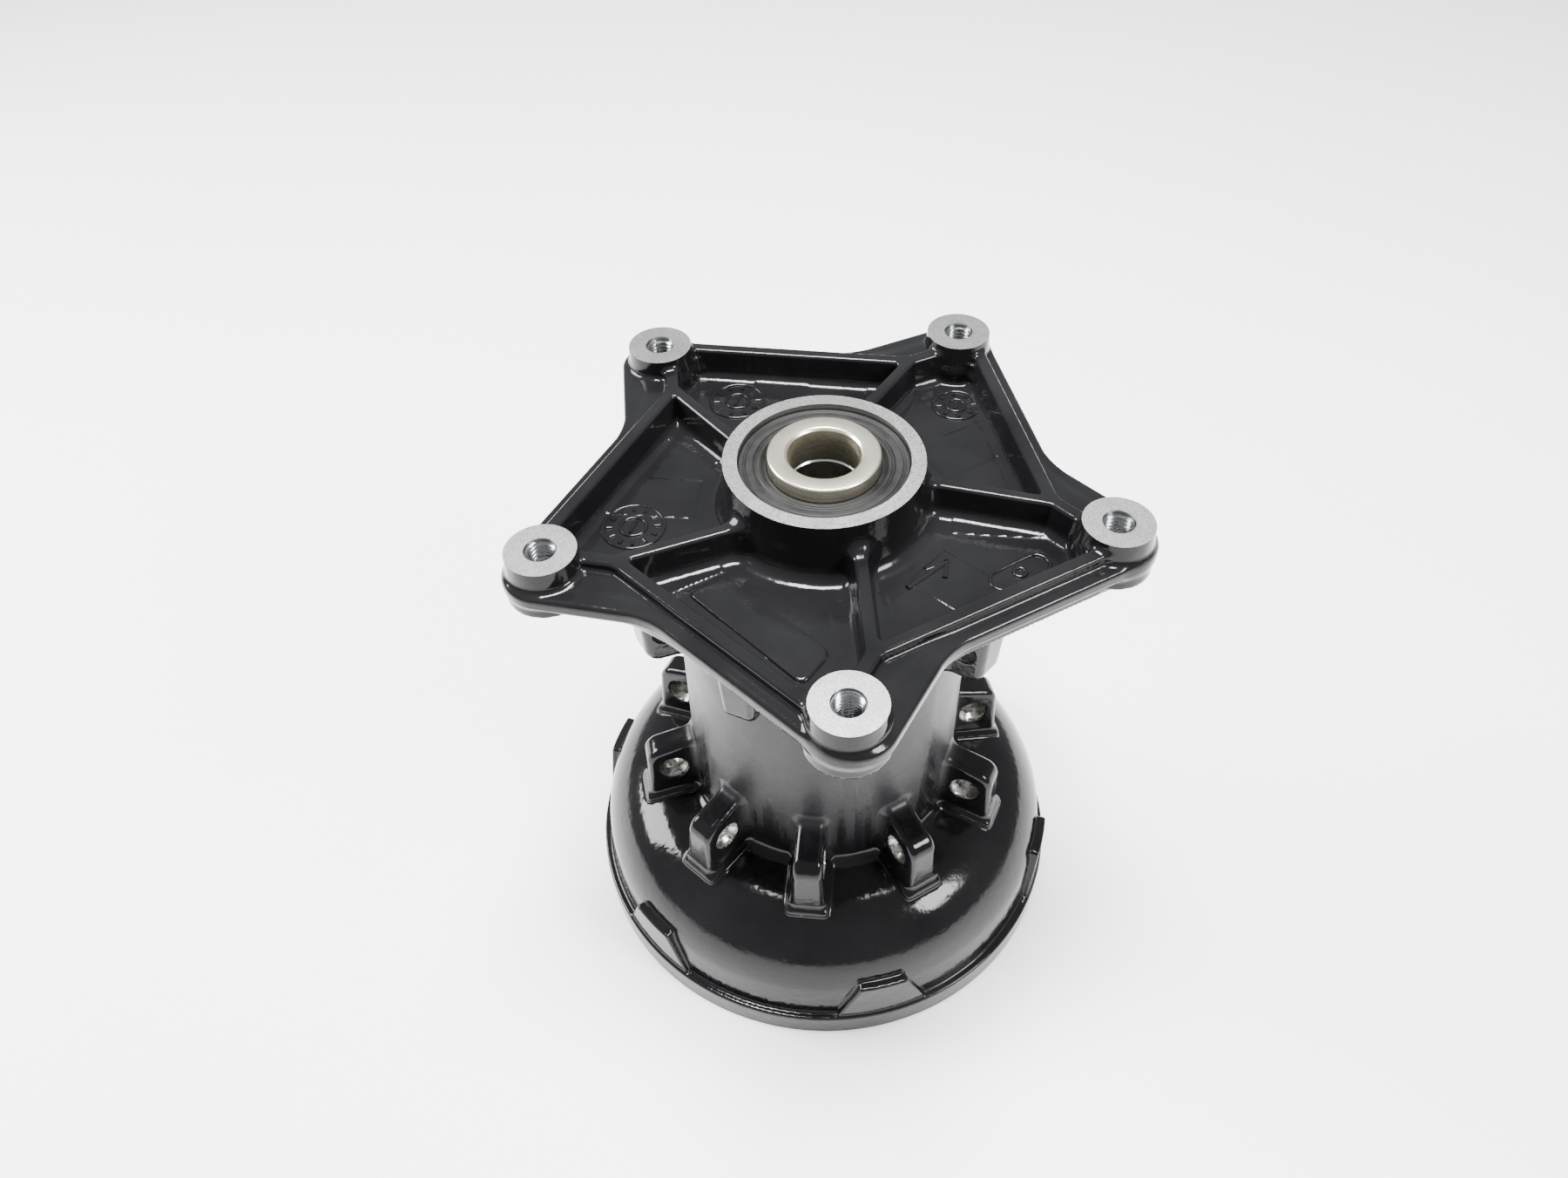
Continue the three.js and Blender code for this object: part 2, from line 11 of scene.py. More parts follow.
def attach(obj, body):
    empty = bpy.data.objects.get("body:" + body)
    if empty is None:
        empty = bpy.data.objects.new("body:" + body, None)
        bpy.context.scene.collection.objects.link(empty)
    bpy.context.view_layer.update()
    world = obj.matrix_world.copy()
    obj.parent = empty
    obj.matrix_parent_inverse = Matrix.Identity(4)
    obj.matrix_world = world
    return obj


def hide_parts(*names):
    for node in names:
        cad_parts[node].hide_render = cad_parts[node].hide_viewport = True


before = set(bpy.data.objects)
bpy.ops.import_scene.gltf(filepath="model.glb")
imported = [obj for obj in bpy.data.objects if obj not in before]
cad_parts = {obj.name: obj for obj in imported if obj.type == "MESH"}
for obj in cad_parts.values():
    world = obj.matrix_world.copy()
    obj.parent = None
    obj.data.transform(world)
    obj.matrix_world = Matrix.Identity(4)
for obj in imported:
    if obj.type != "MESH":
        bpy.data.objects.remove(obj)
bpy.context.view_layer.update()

MM = 0.001
FINE_CELL = 0.66                   # millimetres between samples of the casting's distance field
MOST_TRIANGLES = 450_000           # in the whole casting
FRONT = math.radians(-90)          # direction of the first boss

# Brake disc carrier (millimetres, as in the CAD part)
ARMS = 5
BOSS_CIRCLE = 78.7
BOSS_FACE_RADIUS = 9.55
BOSS_TOP = 174.0
THREAD_HOLE_RADIUS = 4.35
TIP_RADIUS = 11.4
TIP_SHIFT = 1.0
LONG_NORMAL = math.radians(-46.5)  # normal of a long edge, from the boss radius
SHORT_NORMAL = math.radians(57.6)
LEDGE_TOP = 168.0
LEDGE_BOTTOM = 163.5
RIB_TOP = 171.3
RIM_RIB_LINE = 6.4                 # middle of the rim rib, in from the long edge
POCKET_FLOOR = 161.7
BOSS_DRAFT = 0.09                  # growth of a boss's radius for each millimetre down
BOSS_FOOT_RADIUS = 10.3
RIB_HALF_WIDTH = 1.95
RIB_DRAFT = 0.07
RIM_RIB_ENDS = ((27.3, -54.8), (81.4, -3.5))   # along and across the boss radius
SPOKE_RIB_OFFSET = 7.35
SPOKE_RIB_ENDS = ((24.0, SPOKE_RIB_OFFSET), (59.5, SPOKE_RIB_OFFSET))
COLLAR_TOP = 179.5
COLLAR_RADIUS = 27.5
SEAT_RADIUS = 23.5
SHOULDER_RADIUS = 20.5
DISC_SEAT_BOTTOM = 156.4
DRIVE_SEAT_TOP = 41.1
CARRIER_JOIN = 149.5               # where the CAD nodes of the casting meet
DRUM_JOIN = 51.0

# Bearings, seal and axle parts
DISC_BEARING_BOTTOM = 156.5
DRIVE_BEARING_BOTTOM = 27.0
BEARING_WIDTH = 14
BALLS = 8
BALL_RADIUS = 3.97
BALL_CIRCLE = 16.75
RACE_RADIUS = 4.15                 # of the groove that the balls run in
SEAL_TOP = 178.0
THREAD_PITCH = 1.25

# Barrel, drum and lugs
BARREL_RADIUS = 44.0
CORE_RADIUS = 38.0
CORE_MIDDLE = 103.5
CORE_HALF_HEIGHT = 47.5
RIM_RADIUS = 81.0
RIM_HEIGHT = 9.0
WALL_FOOT_RADIUS = 78.4
WALL_DRAFT = 0.07
SHOULDER_TOP = 47.3                # height of the sloping top at its inner radius
SHOULDER_INNER = 45.0
SHOULDER_SLOPE = 0.17
SHOULDER_ROUND = 20.0
CAVITY_RADIUS = 72.5
CAVITY_TOP = 39.0
CAVITY_DRAFT = 0.05
CAVITY_ROUND = 14.0
VANE_HALF_WIDTH = 3.7
VANE_BOTTOM = 12.0
GROOVE_DEPTH = 1.4                 # circlip groove
GROOVE_HEIGHT = 25.8
HOUSING_RADIUS = 30.0
HOUSING_BOTTOM = 21.0
PADS = 6
PAD_ANGLE = math.radians(10.3)
PAD_RADIUS = 80.0
PAD_TOP = 26.0
PAD_HALF_WIDTH = 15.2              # at the foot, measured round the drum
PAD_SLANT = 0.435
LUGS = 10
DRUM_LUG_ANGLE = math.radians(-8.7)
CARRIER_LUG_ANGLE = DRUM_LUG_ANGLE + math.pi / LUGS
LUG_HALF_WIDTH = 4.35
LUG_DRAFT = 0.05
LUG_SLOPE = 0.25                   # fall of a lug's back for each millimetre outward
DRUM_LUG_TOP = 70.6
DRUM_LUG_REACH = 60.3
CARRIER_LUG_BOTTOM = 130.5
CARRIER_LUG_REACH = 59.0
SPOKE_HOLE_CIRCLE = 52.3
SPOKE_HOLE_RADIUS = 3.3
SPOKE_SEAT_RADIUS = 4.7
DRUM_SPOKE_HEIGHT = 58.5
CARRIER_SPOKE_HEIGHT = 145.0


# ---------------------------------------------------------------- camera


def make_camera():
    """A long-side 67 degree view from the front, above, turned a little about its own axis."""
    azimuth, elevation, roll = (math.radians(v) for v in (-1.40, 46.65, 1.79))
    right = Vector((math.cos(azimuth), math.sin(azimuth), 0))
    back = Vector((
        math.sin(azimuth) * math.cos(elevation),
        -math.cos(azimuth) * math.cos(elevation),
        math.sin(elevation),
    ))
    up = back.cross(right)
    across = right * math.cos(roll) - up * math.sin(roll)
    upward = right * math.sin(roll) + up * math.cos(roll)
    data = bpy.data.cameras.new("camera")
    data.sensor_width = 36
    data.lens = 26.943
    data.clip_start, data.clip_end = 0.01, 20
    camera = bpy.data.objects.new("camera", data)
    bpy.context.scene.collection.objects.link(camera)
    turn = Matrix((across, upward, back)).transposed().to_4x4()
    camera.matrix_world = Matrix.Translation((-0.01777, -0.24129, 0.38479)) @ turn
    bpy.context.scene.camera = camera


# ---------------------------------------------------------------- distance field helpers


def join_round(a, b, r):
    """Union of two distances with a fillet of radius r."""
    u = np.maximum(r - a, 0)
    v = np.maximum(r - b, 0)
    return np.maximum(r, np.minimum(a, b)) - np.sqrt(u * u + v * v)


def keep_round(a, b, r):
    """Intersection of two distances with the edge rounded to radius r."""
    u = np.maximum(r + a, 0)
    v = np.maximum(r + b, 0)
    return np.minimum(-r, np.maximum(a, b)) + np.sqrt(u * u + v * v)


def cut_round(a, b, r):
    return keep_round(a, -b, r)


def turn_to(x, y, angle):
    """Coordinates along and across a radius at an angle."""
    c, s = math.cos(angle), math.sin(angle)
    return x * c + y * s, y * c - x * s


def fold(x, y, count, first):
    """Coordinates along and across the nearest of count equally spaced radii."""
    step = 2 * math.pi / count
    angle = np.arctan2(y, x) - FRONT - first
    angle = angle - step * np.round(angle / step)
    radius = np.hypot(x, y)
    return radius * np.cos(angle), radius * np.sin(angle)


def bar_distance(x, y, start, end):
    """Distance in plan to the line between two points."""
    dx, dy = end[0] - start[0], end[1] - start[1]
    length2 = dx * dx + dy * dy
    t = np.clip(((x - start[0]) * dx + (y - start[1]) * dy) / length2, 0, 1)
    return np.hypot(x - start[0] - t * dx, y - start[1] - t * dy)


def line_distance(x, y, normal):
    """Distance past the line that touches the arm's tip with that normal."""
    c, s = math.cos(normal), math.sin(normal)
    return (x - BOSS_CIRCLE) * c + (y - TIP_SHIFT) * s - TIP_RADIUS


# ---------------------------------------------------------------- the casting as a distance field


def wedge(x, y):
    """One arm of the star in plan, from past the centre to its rounded tip."""
    px, py = x - BOSS_CIRCLE, y - TIP_SHIFT
    past_long = py * math.cos(LONG_NORMAL) - px * math.sin(LONG_NORMAL)
    past_short = px * math.sin(SHORT_NORMAL) - py * math.cos(SHORT_NORMAL)
    round_tip = np.hypot(px, py) - TIP_RADIUS
    edges = np.maximum(line_distance(x, y, LONG_NORMAL), line_distance(x, y, SHORT_NORMAL))
    edges = np.where((past_long > 0) & (past_short > 0), round_tip, edges)
    return np.maximum(edges, 25.0 - x)


def star_plan(x, y, radius):
    """Outline of the star and the area of its pockets, in plan."""
    x0, y0 = fold(x, y, ARMS, 0)
    step = 2 * math.pi / ARMS
    x1, y1 = turn_to(x0, y0, step)
    x2, y2 = turn_to(x0, y0, -step)
    outline = join_round(wedge(x0, y0), wedge(x1, y1), 3.0)
    outline = join_round(outline, wedge(x2, y2), 3.0)
    outline = np.minimum(outline, radius - 48.0)
    pentagon = np.maximum(line_distance(x0, y0, LONG_NORMAL), line_distance(x1, y1, LONG_NORMAL))
    pentagon = np.maximum(pentagon, line_distance(x2, y2, LONG_NORMAL)) + RIM_RIB_LINE
    towards_boss = np.maximum(line_distance(x0, y0, LONG_NORMAL) + RIM_RIB_LINE, x0 - 72.0)
    neck_side = x0 * 0.555 + y0 * 0.832 - 40.9
    towards_boss = np.maximum(np.maximum(towards_boss, neck_side), 40.0 - x0)
    return outline, np.minimum(pentagon, towards_boss)


def rib_plan(x, y):
    """Distance in plan to the middle lines of the ribs."""
    x0, y0 = fold(x, y, ARMS, 0)
    step = 2 * math.pi / ARMS
    nearest = None
    for turn in (0, step, -step):
        xa, ya = (x0, y0) if turn == 0 else turn_to(x0, y0, turn)
        spoke = bar_distance(xa, ya, *SPOKE_RIB_ENDS) + 0.15
        neck = bar_distance(xa, ya, (60.0, 8.6), (BOSS_CIRCLE - 7.5, 1.6)) - 0.1
        rim = bar_distance(xa, ya, *RIM_RIB_ENDS)
        near = join_round(join_round(spoke, neck, 3.0), rim, 3.0)
        nearest = near if nearest is None else join_round(nearest, near, 3.0)
    return nearest


def carrier(x, y, z, radius):
    """The star-shaped disc carrier with its ledge, pockets, ribs and bosses."""
    outline, pocket = star_plan(x, y, radius)
    x0, y0 = fold(x, y, ARMS, 0)
    flange = keep_round(outline, np.abs(z - (LEDGE_TOP + LEDGE_BOTTOM) / 2) - 2.25, 1.4)
    under = keep_round(outline + 5.0, np.abs(z - 162.0) - 5.0, 3.0)
    slab = join_round(flange, under, 3.0)
    carve = np.maximum(pocket, POCKET_FLOOR - z)
    slab = np.maximum(slab, -carve)
    taper = (RIB_TOP - z) * RIB_DRAFT
    ribs = keep_round(rib_plan(x, y) - RIB_HALF_WIDTH - taper, z - RIB_TOP, 1.0)
    ribs = np.maximum(ribs, 158.0 - z)
    fillet = np.where(z > 166.5, 1.2, np.where(z < 164.5, 3.0, 3.0 - 0.9 * (z - 164.5)))
    star = join_round(slab, ribs, fillet)
    boss_distance = np.hypot(x0 - BOSS_CIRCLE, y0)
    head = boss_distance - BOSS_FACE_RADIUS - (BOSS_TOP - z) * BOSS_DRAFT
    head = np.maximum(head, np.abs(z - 168.0) - 8.0)
    foot = keep_round(boss_distance - BOSS_FOOT_RADIUS, np.abs(z - 163.0) - 4.5, 2.5)
    star = join_round(star, foot, 1.5)
    return join_round(star, head, 1.6)


def lug(x, y, z, top, reach, first, direction):
    """Spoke lug: a drafted block with a sloping back, above (1) or below (-1) its root."""
    xl, yl = fold(x, y, LUGS, first)
    back = (direction * (z - top) + LUG_SLOPE * (xl - BARREL_RADIUS)) / math.hypot(1, LUG_SLOPE)
    depth = np.clip(direction * (top - z), 0, 30)
    face = xl - reach - LUG_DRAFT * depth
    sides = np.abs(yl) - LUG_HALF_WIDTH - 0.045 * depth
    block = keep_round(back, face, 4.0)
    block = keep_round(block, sides, 2.0)
    return np.maximum(block, 38.0 - xl)


def skirt(x, y, z):
    """Low pedestal round the foot of a drum lug."""
    xl, yl = fold(x, y, LUGS, DRUM_LUG_ANGLE)
    top = z - (48.2 - 0.17 * (xl - 45.0))
    plan = keep_round(xl - 62.6, np.abs(yl) - 6.6, 1.0)
    return np.maximum(keep_round(plan, top, 0.7), 38.0 - xl)


def drum(x, y, z, radius):
    """Outside of the drum: recessed wall, round shoulder, rim band and six pads."""
    wall = radius - (WALL_FOOT_RADIUS - WALL_DRAFT * (z - RIM_HEIGHT))
    top = (z - SHOULDER_TOP + SHOULDER_SLOPE * (radius - SHOULDER_INNER)) * 0.985
    shell = keep_round(wall, top, SHOULDER_ROUND)
    band = keep_round(radius - RIM_RADIUS, z - RIM_HEIGHT, 0.8)
    xp, yp = fold(x, y, PADS, PAD_ANGLE)
    side = np.abs(np.arctan2(yp, xp)) * PAD_RADIUS - PAD_HALF_WIDTH + PAD_SLANT * (z - RIM_HEIGHT)
    side = side / math.hypot(1, PAD_SLANT)
    pad = keep_round(radius - PAD_RADIUS, z - PAD_TOP, 0.7)
    pad = np.maximum(keep_round(pad, side, 0.7), 66.0 - radius)
    shell = join_round(shell, band, 0.9)
    return join_round(shell, pad, 0.7)


def inside(x, y, z, radius):
    """The space inside the casting: bearing seats, cored barrel and cush drive cavity."""
    through = radius - SHOULDER_RADIUS
    disc_seat = np.maximum(radius - SEAT_RADIUS, DISC_SEAT_BOTTOM - z)
    drive_seat = np.maximum(radius - SEAT_RADIUS, z - DRIVE_SEAT_TOP)
    groove = np.maximum(radius - SEAT_RADIUS - GROOVE_DEPTH, np.abs(z - GROOVE_HEIGHT) - 0.9)
    core = keep_round(radius - CORE_RADIUS, np.abs(z - CORE_MIDDLE) - CORE_HALF_HEIGHT, 5.0)
    cavity = keep_round(radius - CAVITY_RADIUS - CAVITY_DRAFT * (25 - z), z - CAVITY_TOP, CAVITY_ROUND)
    housing = np.maximum(radius - HOUSING_RADIUS, HOUSING_BOTTOM - z)
    cavity = cut_round(cavity, housing, 1.5)
    xp, yp = fold(x, y, PADS, PAD_ANGLE)
    vane = keep_round(np.abs(yp) - VANE_HALF_WIDTH - 0.02 * (z - VANE_BOTTOM), VANE_BOTTOM - z, 1.0)
    cavity = cut_round(cavity, vane, 1.5)
    hollow = np.minimum(np.minimum(through, disc_seat), np.minimum(drive_seat, groove))
    return np.minimum(np.minimum(hollow, core), cavity)


def spoke_seat(x, y, z, first, height):
    """Spoke hole across a lug, opened out to a seat at both sides."""
    xl, yl = fold(x, y, LUGS, first)
    away = np.hypot(xl - SPOKE_HOLE_CIRCLE, z - height)
    cone = (away - SPOKE_HOLE_RADIUS - (np.abs(yl) - 2.4) * 0.75) * 0.8
    hole = np.minimum(away - SPOKE_HOLE_RADIUS, np.maximum(cone, away - SPOKE_SEAT_RADIUS))
    return np.maximum(hole, np.abs(yl) - 8.0)


def casting_distance(x, y, z):
    radius = np.hypot(x, y)
    barrel = np.maximum(radius - BARREL_RADIUS + 0.005 * (z - 100), np.abs(z - 99) - 61.0)
    body = join_round(drum(x, y, z, radius), barrel, 4.0)
    lugs = lug(x, y, z, DRUM_LUG_TOP, DRUM_LUG_REACH, DRUM_LUG_ANGLE, 1)
    body = join_round(body, skirt(x, y, z), 0.8)
    body = join_round(body, lugs, 2.6)
    collar = radius - COLLAR_RADIUS - (COLLAR_TOP - z) * 0.05
    collar = np.maximum(collar, np.abs(z - 170.0) - 12.0)
    star = join_round(carrier(x, y, z, radius), collar, 4.5)
    hanging = lug(x, y, z, CARRIER_LUG_BOTTOM, CARRIER_LUG_REACH, CARRIER_LUG_ANGLE, -1)
    hanging = np.maximum(hanging, z - 160.0)
    star = join_round(star, hanging, 3.0)
    body = join_round(body, star, np.clip((158.5 - z) * 4.6, 0.01, 7.0))
    body = np.maximum(body, -inside(x, y, z, radius))
    for first, height in (
        (DRUM_LUG_ANGLE, DRUM_SPOKE_HEIGHT),
        (CARRIER_LUG_ANGLE, CARRIER_SPOKE_HEIGHT),
    ):
        body = cut_round(body, spoke_seat(x, y, z, first, height), 0.5)
    x0, y0 = fold(x, y, ARMS, 0)
    thread_hole = np.maximum(np.hypot(x0 - BOSS_CIRCLE, y0) - THREAD_HOLE_RADIUS, 150.0 - z)
    body = np.maximum(body, -thread_hole)
    return np.maximum(body, -1.5 - z)


# ---------------------------------------------------------------- meshing the distance field


def sample_field(distance, low, size, counts, block):
    """Distances on a regular grid, worked out only near the surface. counts is a multiple of block."""
    blocks = [n // block for n in counts]
    field = np.empty([n + 1 for n in counts], np.float32)
    axes = [low[i] + size * block * (np.arange(blocks[i]) + 0.5) for i in range(3)]
    middle = np.meshgrid(*axes, indexing="ij")
    coarse = distance(*[m.astype(np.float32) for m in middle])
    field[:-1, :-1, :-1] = np.repeat(np.repeat(np.repeat(coarse, block, 0), block, 1), block, 2)
    field[-1], field[:, -1], field[:, :, -1] = 1, 1, 1
    reach = size * block * 0.87 * 1.5
    near = np.argwhere(np.abs(coarse) < reach)
    local = np.arange(block + 1)
    steps = np.stack(np.meshgrid(local, local, local, indexing="ij"), -1).reshape(-1, 3)
    batch = 2500
    for start in range(0, len(near), batch):
        index = (near[start:start + batch] * block)[:, None, :] + steps[None]
        point = [(low[i] + size * index[..., i]).astype(np.float32) for i in range(3)]
        field[index[..., 0], index[..., 1], index[..., 2]] = distance(*point)
    return field


def surface_net(field, low, size):
    """Vertices and quads of the surface where the field is zero."""
    solid = field < 0
    shape = tuple(n - 1 for n in field.shape)
    filled = np.zeros(shape, np.int8)
    for corner in np.ndindex(2, 2, 2):
        filled += solid[tuple(slice(c, c + n) for c, n in zip(corner, shape))]
    active = np.argwhere((filled > 0) & (filled < 8))
    number = np.full(shape, -1, np.int32)
    number[tuple(active.T)] = np.arange(len(active))
    total = np.zeros((len(active), 3), np.float64)
    crossings = np.zeros(len(active))
    for axis in range(3):
        others = [i for i in range(3) if i != axis]
        for p, q in np.ndindex(2, 2):
            offset = np.zeros(3, int)
            offset[others[0]], offset[others[1]] = p, q
            a = active + offset
            b = a.copy()
            b[:, axis] += 1
            fa, fb = field[tuple(a.T)], field[tuple(b.T)]
            cross = (fa < 0) != (fb < 0)
            share = np.where(cross, fa / np.where(cross, fa - fb, 1), 0)
            point = offset + np.zeros((len(active), 3))
            point[:, axis] = share
            total[cross] += point[cross]
            crossings[cross] += 1
    points = np.array(low) + size * (active + total / crossings[:, None])
    quads = []
    for axis in range(3):
        u, v = [(axis + 1) % 3, (axis + 2) % 3]
        lower = [slice(None)] * 3
        upper = [slice(None)] * 3
        lower[axis], upper[axis] = slice(0, -1), slice(1, None)
        inner, outer = solid[tuple(lower)], solid[tuple(upper)]
        for flip, changed in ((False, inner & ~outer), (True, ~inner & outer)):
            edge = np.argwhere(changed)
            edge = edge[(edge[:, u] > 0) & (edge[:, v] > 0)]
            ring = []
            for du, dv in ((1, 1), (0, 1), (0, 0), (1, 0)):
                cell = edge.copy()
                cell[:, u] -= du
                cell[:, v] -= dv
                ring.append(number[tuple(cell.T)])
            ring = np.stack(ring[::-1] if flip else ring, 1)
            quads.append(ring)
    return points, np.concatenate(quads)


def gradient(distance, points, step=0.04):
    result = np.empty_like(points)
    for axis in range(3):
        shift = np.zeros(3)
        shift[axis] = step
        ahead, behind = points + shift, points - shift
        result[:, axis] = (distance(*ahead.T) - distance(*behind.T)) / (2 * step)
    return result


def settle(distance, points, rounds, limit):
    """Moves points onto the surface, each by no more than limit in a round."""
    for _ in range(rounds):
        slope = gradient(distance, points)
        steep = np.maximum((slope * slope).sum(1), 0.25)
        move = slope * (distance(*points.T) / steep)[:, None]
        length = np.linalg.norm(move, axis=1)
        points = points - move * np.minimum(1, limit / np.maximum(length, 1e-9))[:, None]
    return points


def mesh_from_arrays(name, points, faces):
    mesh = bpy.data.meshes.new(name)
    mesh.vertices.add(len(points))
    mesh.vertices.foreach_set("co", points.astype(np.float32).ravel())
    corners = faces.shape[1]
    mesh.loops.add(faces.size)
    mesh.loops.foreach_set("vertex_index", faces.astype(np.int32).ravel())
    mesh.polygons.add(len(faces))
    mesh.polygons.foreach_set("loop_start", np.arange(0, faces.size, corners, dtype=np.int32))
    mesh.update(calc_edges=True)
    mesh.validate()
    return mesh


def vertex_array(mesh):
    co = np.empty(len(mesh.vertices) * 3, np.float32)
    mesh.vertices.foreach_get("co", co)
    return co.reshape(-1, 3).astype(np.float64)


def add_object(name, mesh):
    piece = bpy.data.objects.new(name, mesh)
    bpy.context.scene.collection.objects.link(piece)
    return piece


def applied(piece):
    """The piece's mesh with its modifiers worked in."""
    graph = bpy.context.evaluated_depsgraph_get()
    mesh = bpy.data.meshes.new_from_object(piece.evaluated_get(graph))
    piece.modifiers.clear()
    old = piece.data
    piece.data = mesh
    bpy.data.meshes.remove(old)
    return mesh


def cut_flat(bm, centre, reach, height, upward, rings):
    """Machines a flat ring: cuts away what lies beyond a height, and lays a ring on the cut."""
    side = 1 if upward else -1
    near = [
        f for f in bm.faces
        if any((v.co.z - height) * side > 0 for v in f.verts)
        and math.hypot(f.verts[0].co.x - centre[0], f.verts[0].co.y - centre[1]) < reach
    ]
    edges = {e for f in near for e in f.edges}
    verts = {v for f in near for v in f.verts}
    bmesh.ops.bisect_plane(
        bm, geom=near + list(edges) + list(verts), dist=1e-6,
        plane_co=(0, 0, height), plane_no=(0, 0, side), clear_outer=True,
    )
    steps = 240 if rings[0] > 60 else 120
    loops = []
    for radius in rings:
        loop = []
        for i in range(steps):
            turn = 2 * math.pi * i / steps
            spot_on = (centre[0] + radius * math.cos(turn), centre[1] + radius * math.sin(turn), height)
            loop.append(bm.verts.new(spot_on))
        loops.append(loop)
    for i in range(steps):
        j = (i + 1) % steps
        corners = [loops[0][i], loops[0][j], loops[1][j], loops[1][i]]
        f = bm.faces.new(corners if upward else corners[::-1])
        f.material_index = 1
        f.smooth = False


def make_casting():
    size = FINE_CELL
    block = 8
    low = [-92.0, -92.0, -3.0]
    counts = [int(math.ceil(extent / size / block)) * block for extent in (184, 184, 187)]
    field = sample_field(casting_distance, low, size, counts, block)
    points, quads = surface_net(field, low, size)
    points = settle(casting_distance, points, 2, size * 0.5)
    piece = add_object("hub_casting_fine", mesh_from_arrays("hub_casting_fine", points, quads))
    triangles = 2 * len(quads)
    if triangles > MOST_TRIANGLES:
        thin = piece.modifiers.new("thin", "DECIMATE")
        thin.ratio = MOST_TRIANGLES / triangles
        applied(piece)
    mesh = piece.data
    points = settle(casting_distance, vertex_array(mesh), 2, size * 0.3)
    mesh.vertices.foreach_set("co", points.astype(np.float32).ravel())
    bm = bmesh.new()
    bm.from_mesh(mesh)
    for f in bm.faces:
        f.smooth = True
    cut_flat(bm, (0, 0), 90.0, 0.0, False, (RIM_RADIUS, CAVITY_RADIUS + 1.25))
    cut_flat(bm, (0, 0), 40.0, COLLAR_TOP, True, (COLLAR_RADIUS, SEAT_RADIUS))
    for i in range(ARMS):
        angle = FRONT + i * 2 * math.pi / ARMS
        centre = (BOSS_CIRCLE * math.cos(angle), BOSS_CIRCLE * math.sin(angle))
        cut_flat(bm, centre, 20.0, BOSS_TOP, True, (BOSS_FACE_RADIUS, THREAD_HOLE_RADIUS))
    bm.to_mesh(mesh)
    bm.free()
    bpy.data.objects.remove(piece)
    return [casting_section(mesh, *section) for section in (
        ("disc_carrier", CARRIER_JOIN, 200.0),
        ("spoke_barrel", DRUM_JOIN, CARRIER_JOIN),
        ("cush_drum", -5.0, DRUM_JOIN),
    )]


def casting_section(whole, node, bottom, top):
    """The part of the casting that stands for one CAD node, with its normals and masks."""
    bm = bmesh.new()
    bm.from_mesh(whole)
    other = [f for f in bm.faces if not bottom <= f.calc_center_median().z < top]
    bmesh.ops.delete(bm, geom=other, context="FACES")
    mesh = bpy.data.meshes.new(node + "_cast")
    bm.to_mesh(mesh)
    bm.free()
    smooth_normals(mesh)
    mark_bare_metal(mesh)
    mesh.transform(Matrix.Scale(MM, 4))
    piece = add_object(node + "_cast", mesh)
    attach(piece, "hub")
    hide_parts(node)
    return piece


def smooth_normals(mesh):
    """Normals straight from the distance field, so that the gloss is even; flat on machined faces."""
    points = vertex_array(mesh)
    slope = gradient(casting_distance, points)
    slope /= np.maximum(np.linalg.norm(slope, axis=1), 1e-6)[:, None]
    count = len(mesh.loops)
    vertex = np.empty(count, np.int32)
    mesh.loops.foreach_get("vertex_index", vertex)
    normals = slope[vertex]
    machined = np.zeros(len(mesh.polygons), np.int32)
    mesh.polygons.foreach_get("material_index", machined)
    start = np.zeros(len(mesh.polygons), np.int32)
    total = np.zeros(len(mesh.polygons), np.int32)
    mesh.polygons.foreach_get("loop_start", start)
    mesh.polygons.foreach_get("loop_total", total)
    face_of_loop = np.repeat(np.arange(len(start)), total)
    flat = np.zeros(len(start) * 3, np.float32)
    mesh.polygons.foreach_get("normal", flat)
    flat = flat.reshape(-1, 3)
    use_flat = machined[face_of_loop] == 1
    normals[use_flat] = flat[face_of_loop][use_flat]
    mesh.normals_split_custom_set(normals.astype(np.float32))


def mark_bare_metal(mesh):
    """How far each point is outside the machined bores and seats, in millimetres."""
    x, y, z = vertex_array(mesh).T
    seats = np.minimum(
        spoke_seat(x, y, z, DRUM_LUG_ANGLE, DRUM_SPOKE_HEIGHT),
        spoke_seat(x, y, z, CARRIER_LUG_ANGLE, CARRIER_SPOKE_HEIGHT),
    )
    radius = np.hypot(x, y)
    bores = np.maximum(np.abs(radius - 22.0) - 3.2, -(z - 10))
    x0, y0 = fold(x, y, ARMS, 0)
    threads = np.maximum(np.hypot(x0 - BOSS_CIRCLE, y0) - THREAD_HOLE_RADIUS - 0.3, 155.0 - z)
    away = np.minimum(np.minimum(seats, bores), threads)
    add_layer(mesh, "bare", away)
    # Mask on the barrel's outside: rougher paint, and a lighter colour there that is a painted reflection of
    # the floor.
    barrel = np.clip((49.0 - radius) / 3, 0, 1)
    barrel = barrel * np.clip((z - 52) / 8, 0, 1) * np.clip((157 - z) / 5, 0, 1)
    add_layer(mesh, "satin_and_painted_reflection", np.where(radius > 40, barrel, 0))


def add_layer(mesh, name, values):
    layer = mesh.attributes.new(name, "FLOAT", "POINT")
    layer.data.foreach_set("value", np.asarray(values, np.float32))


# ---------------------------------------------------------------- materials


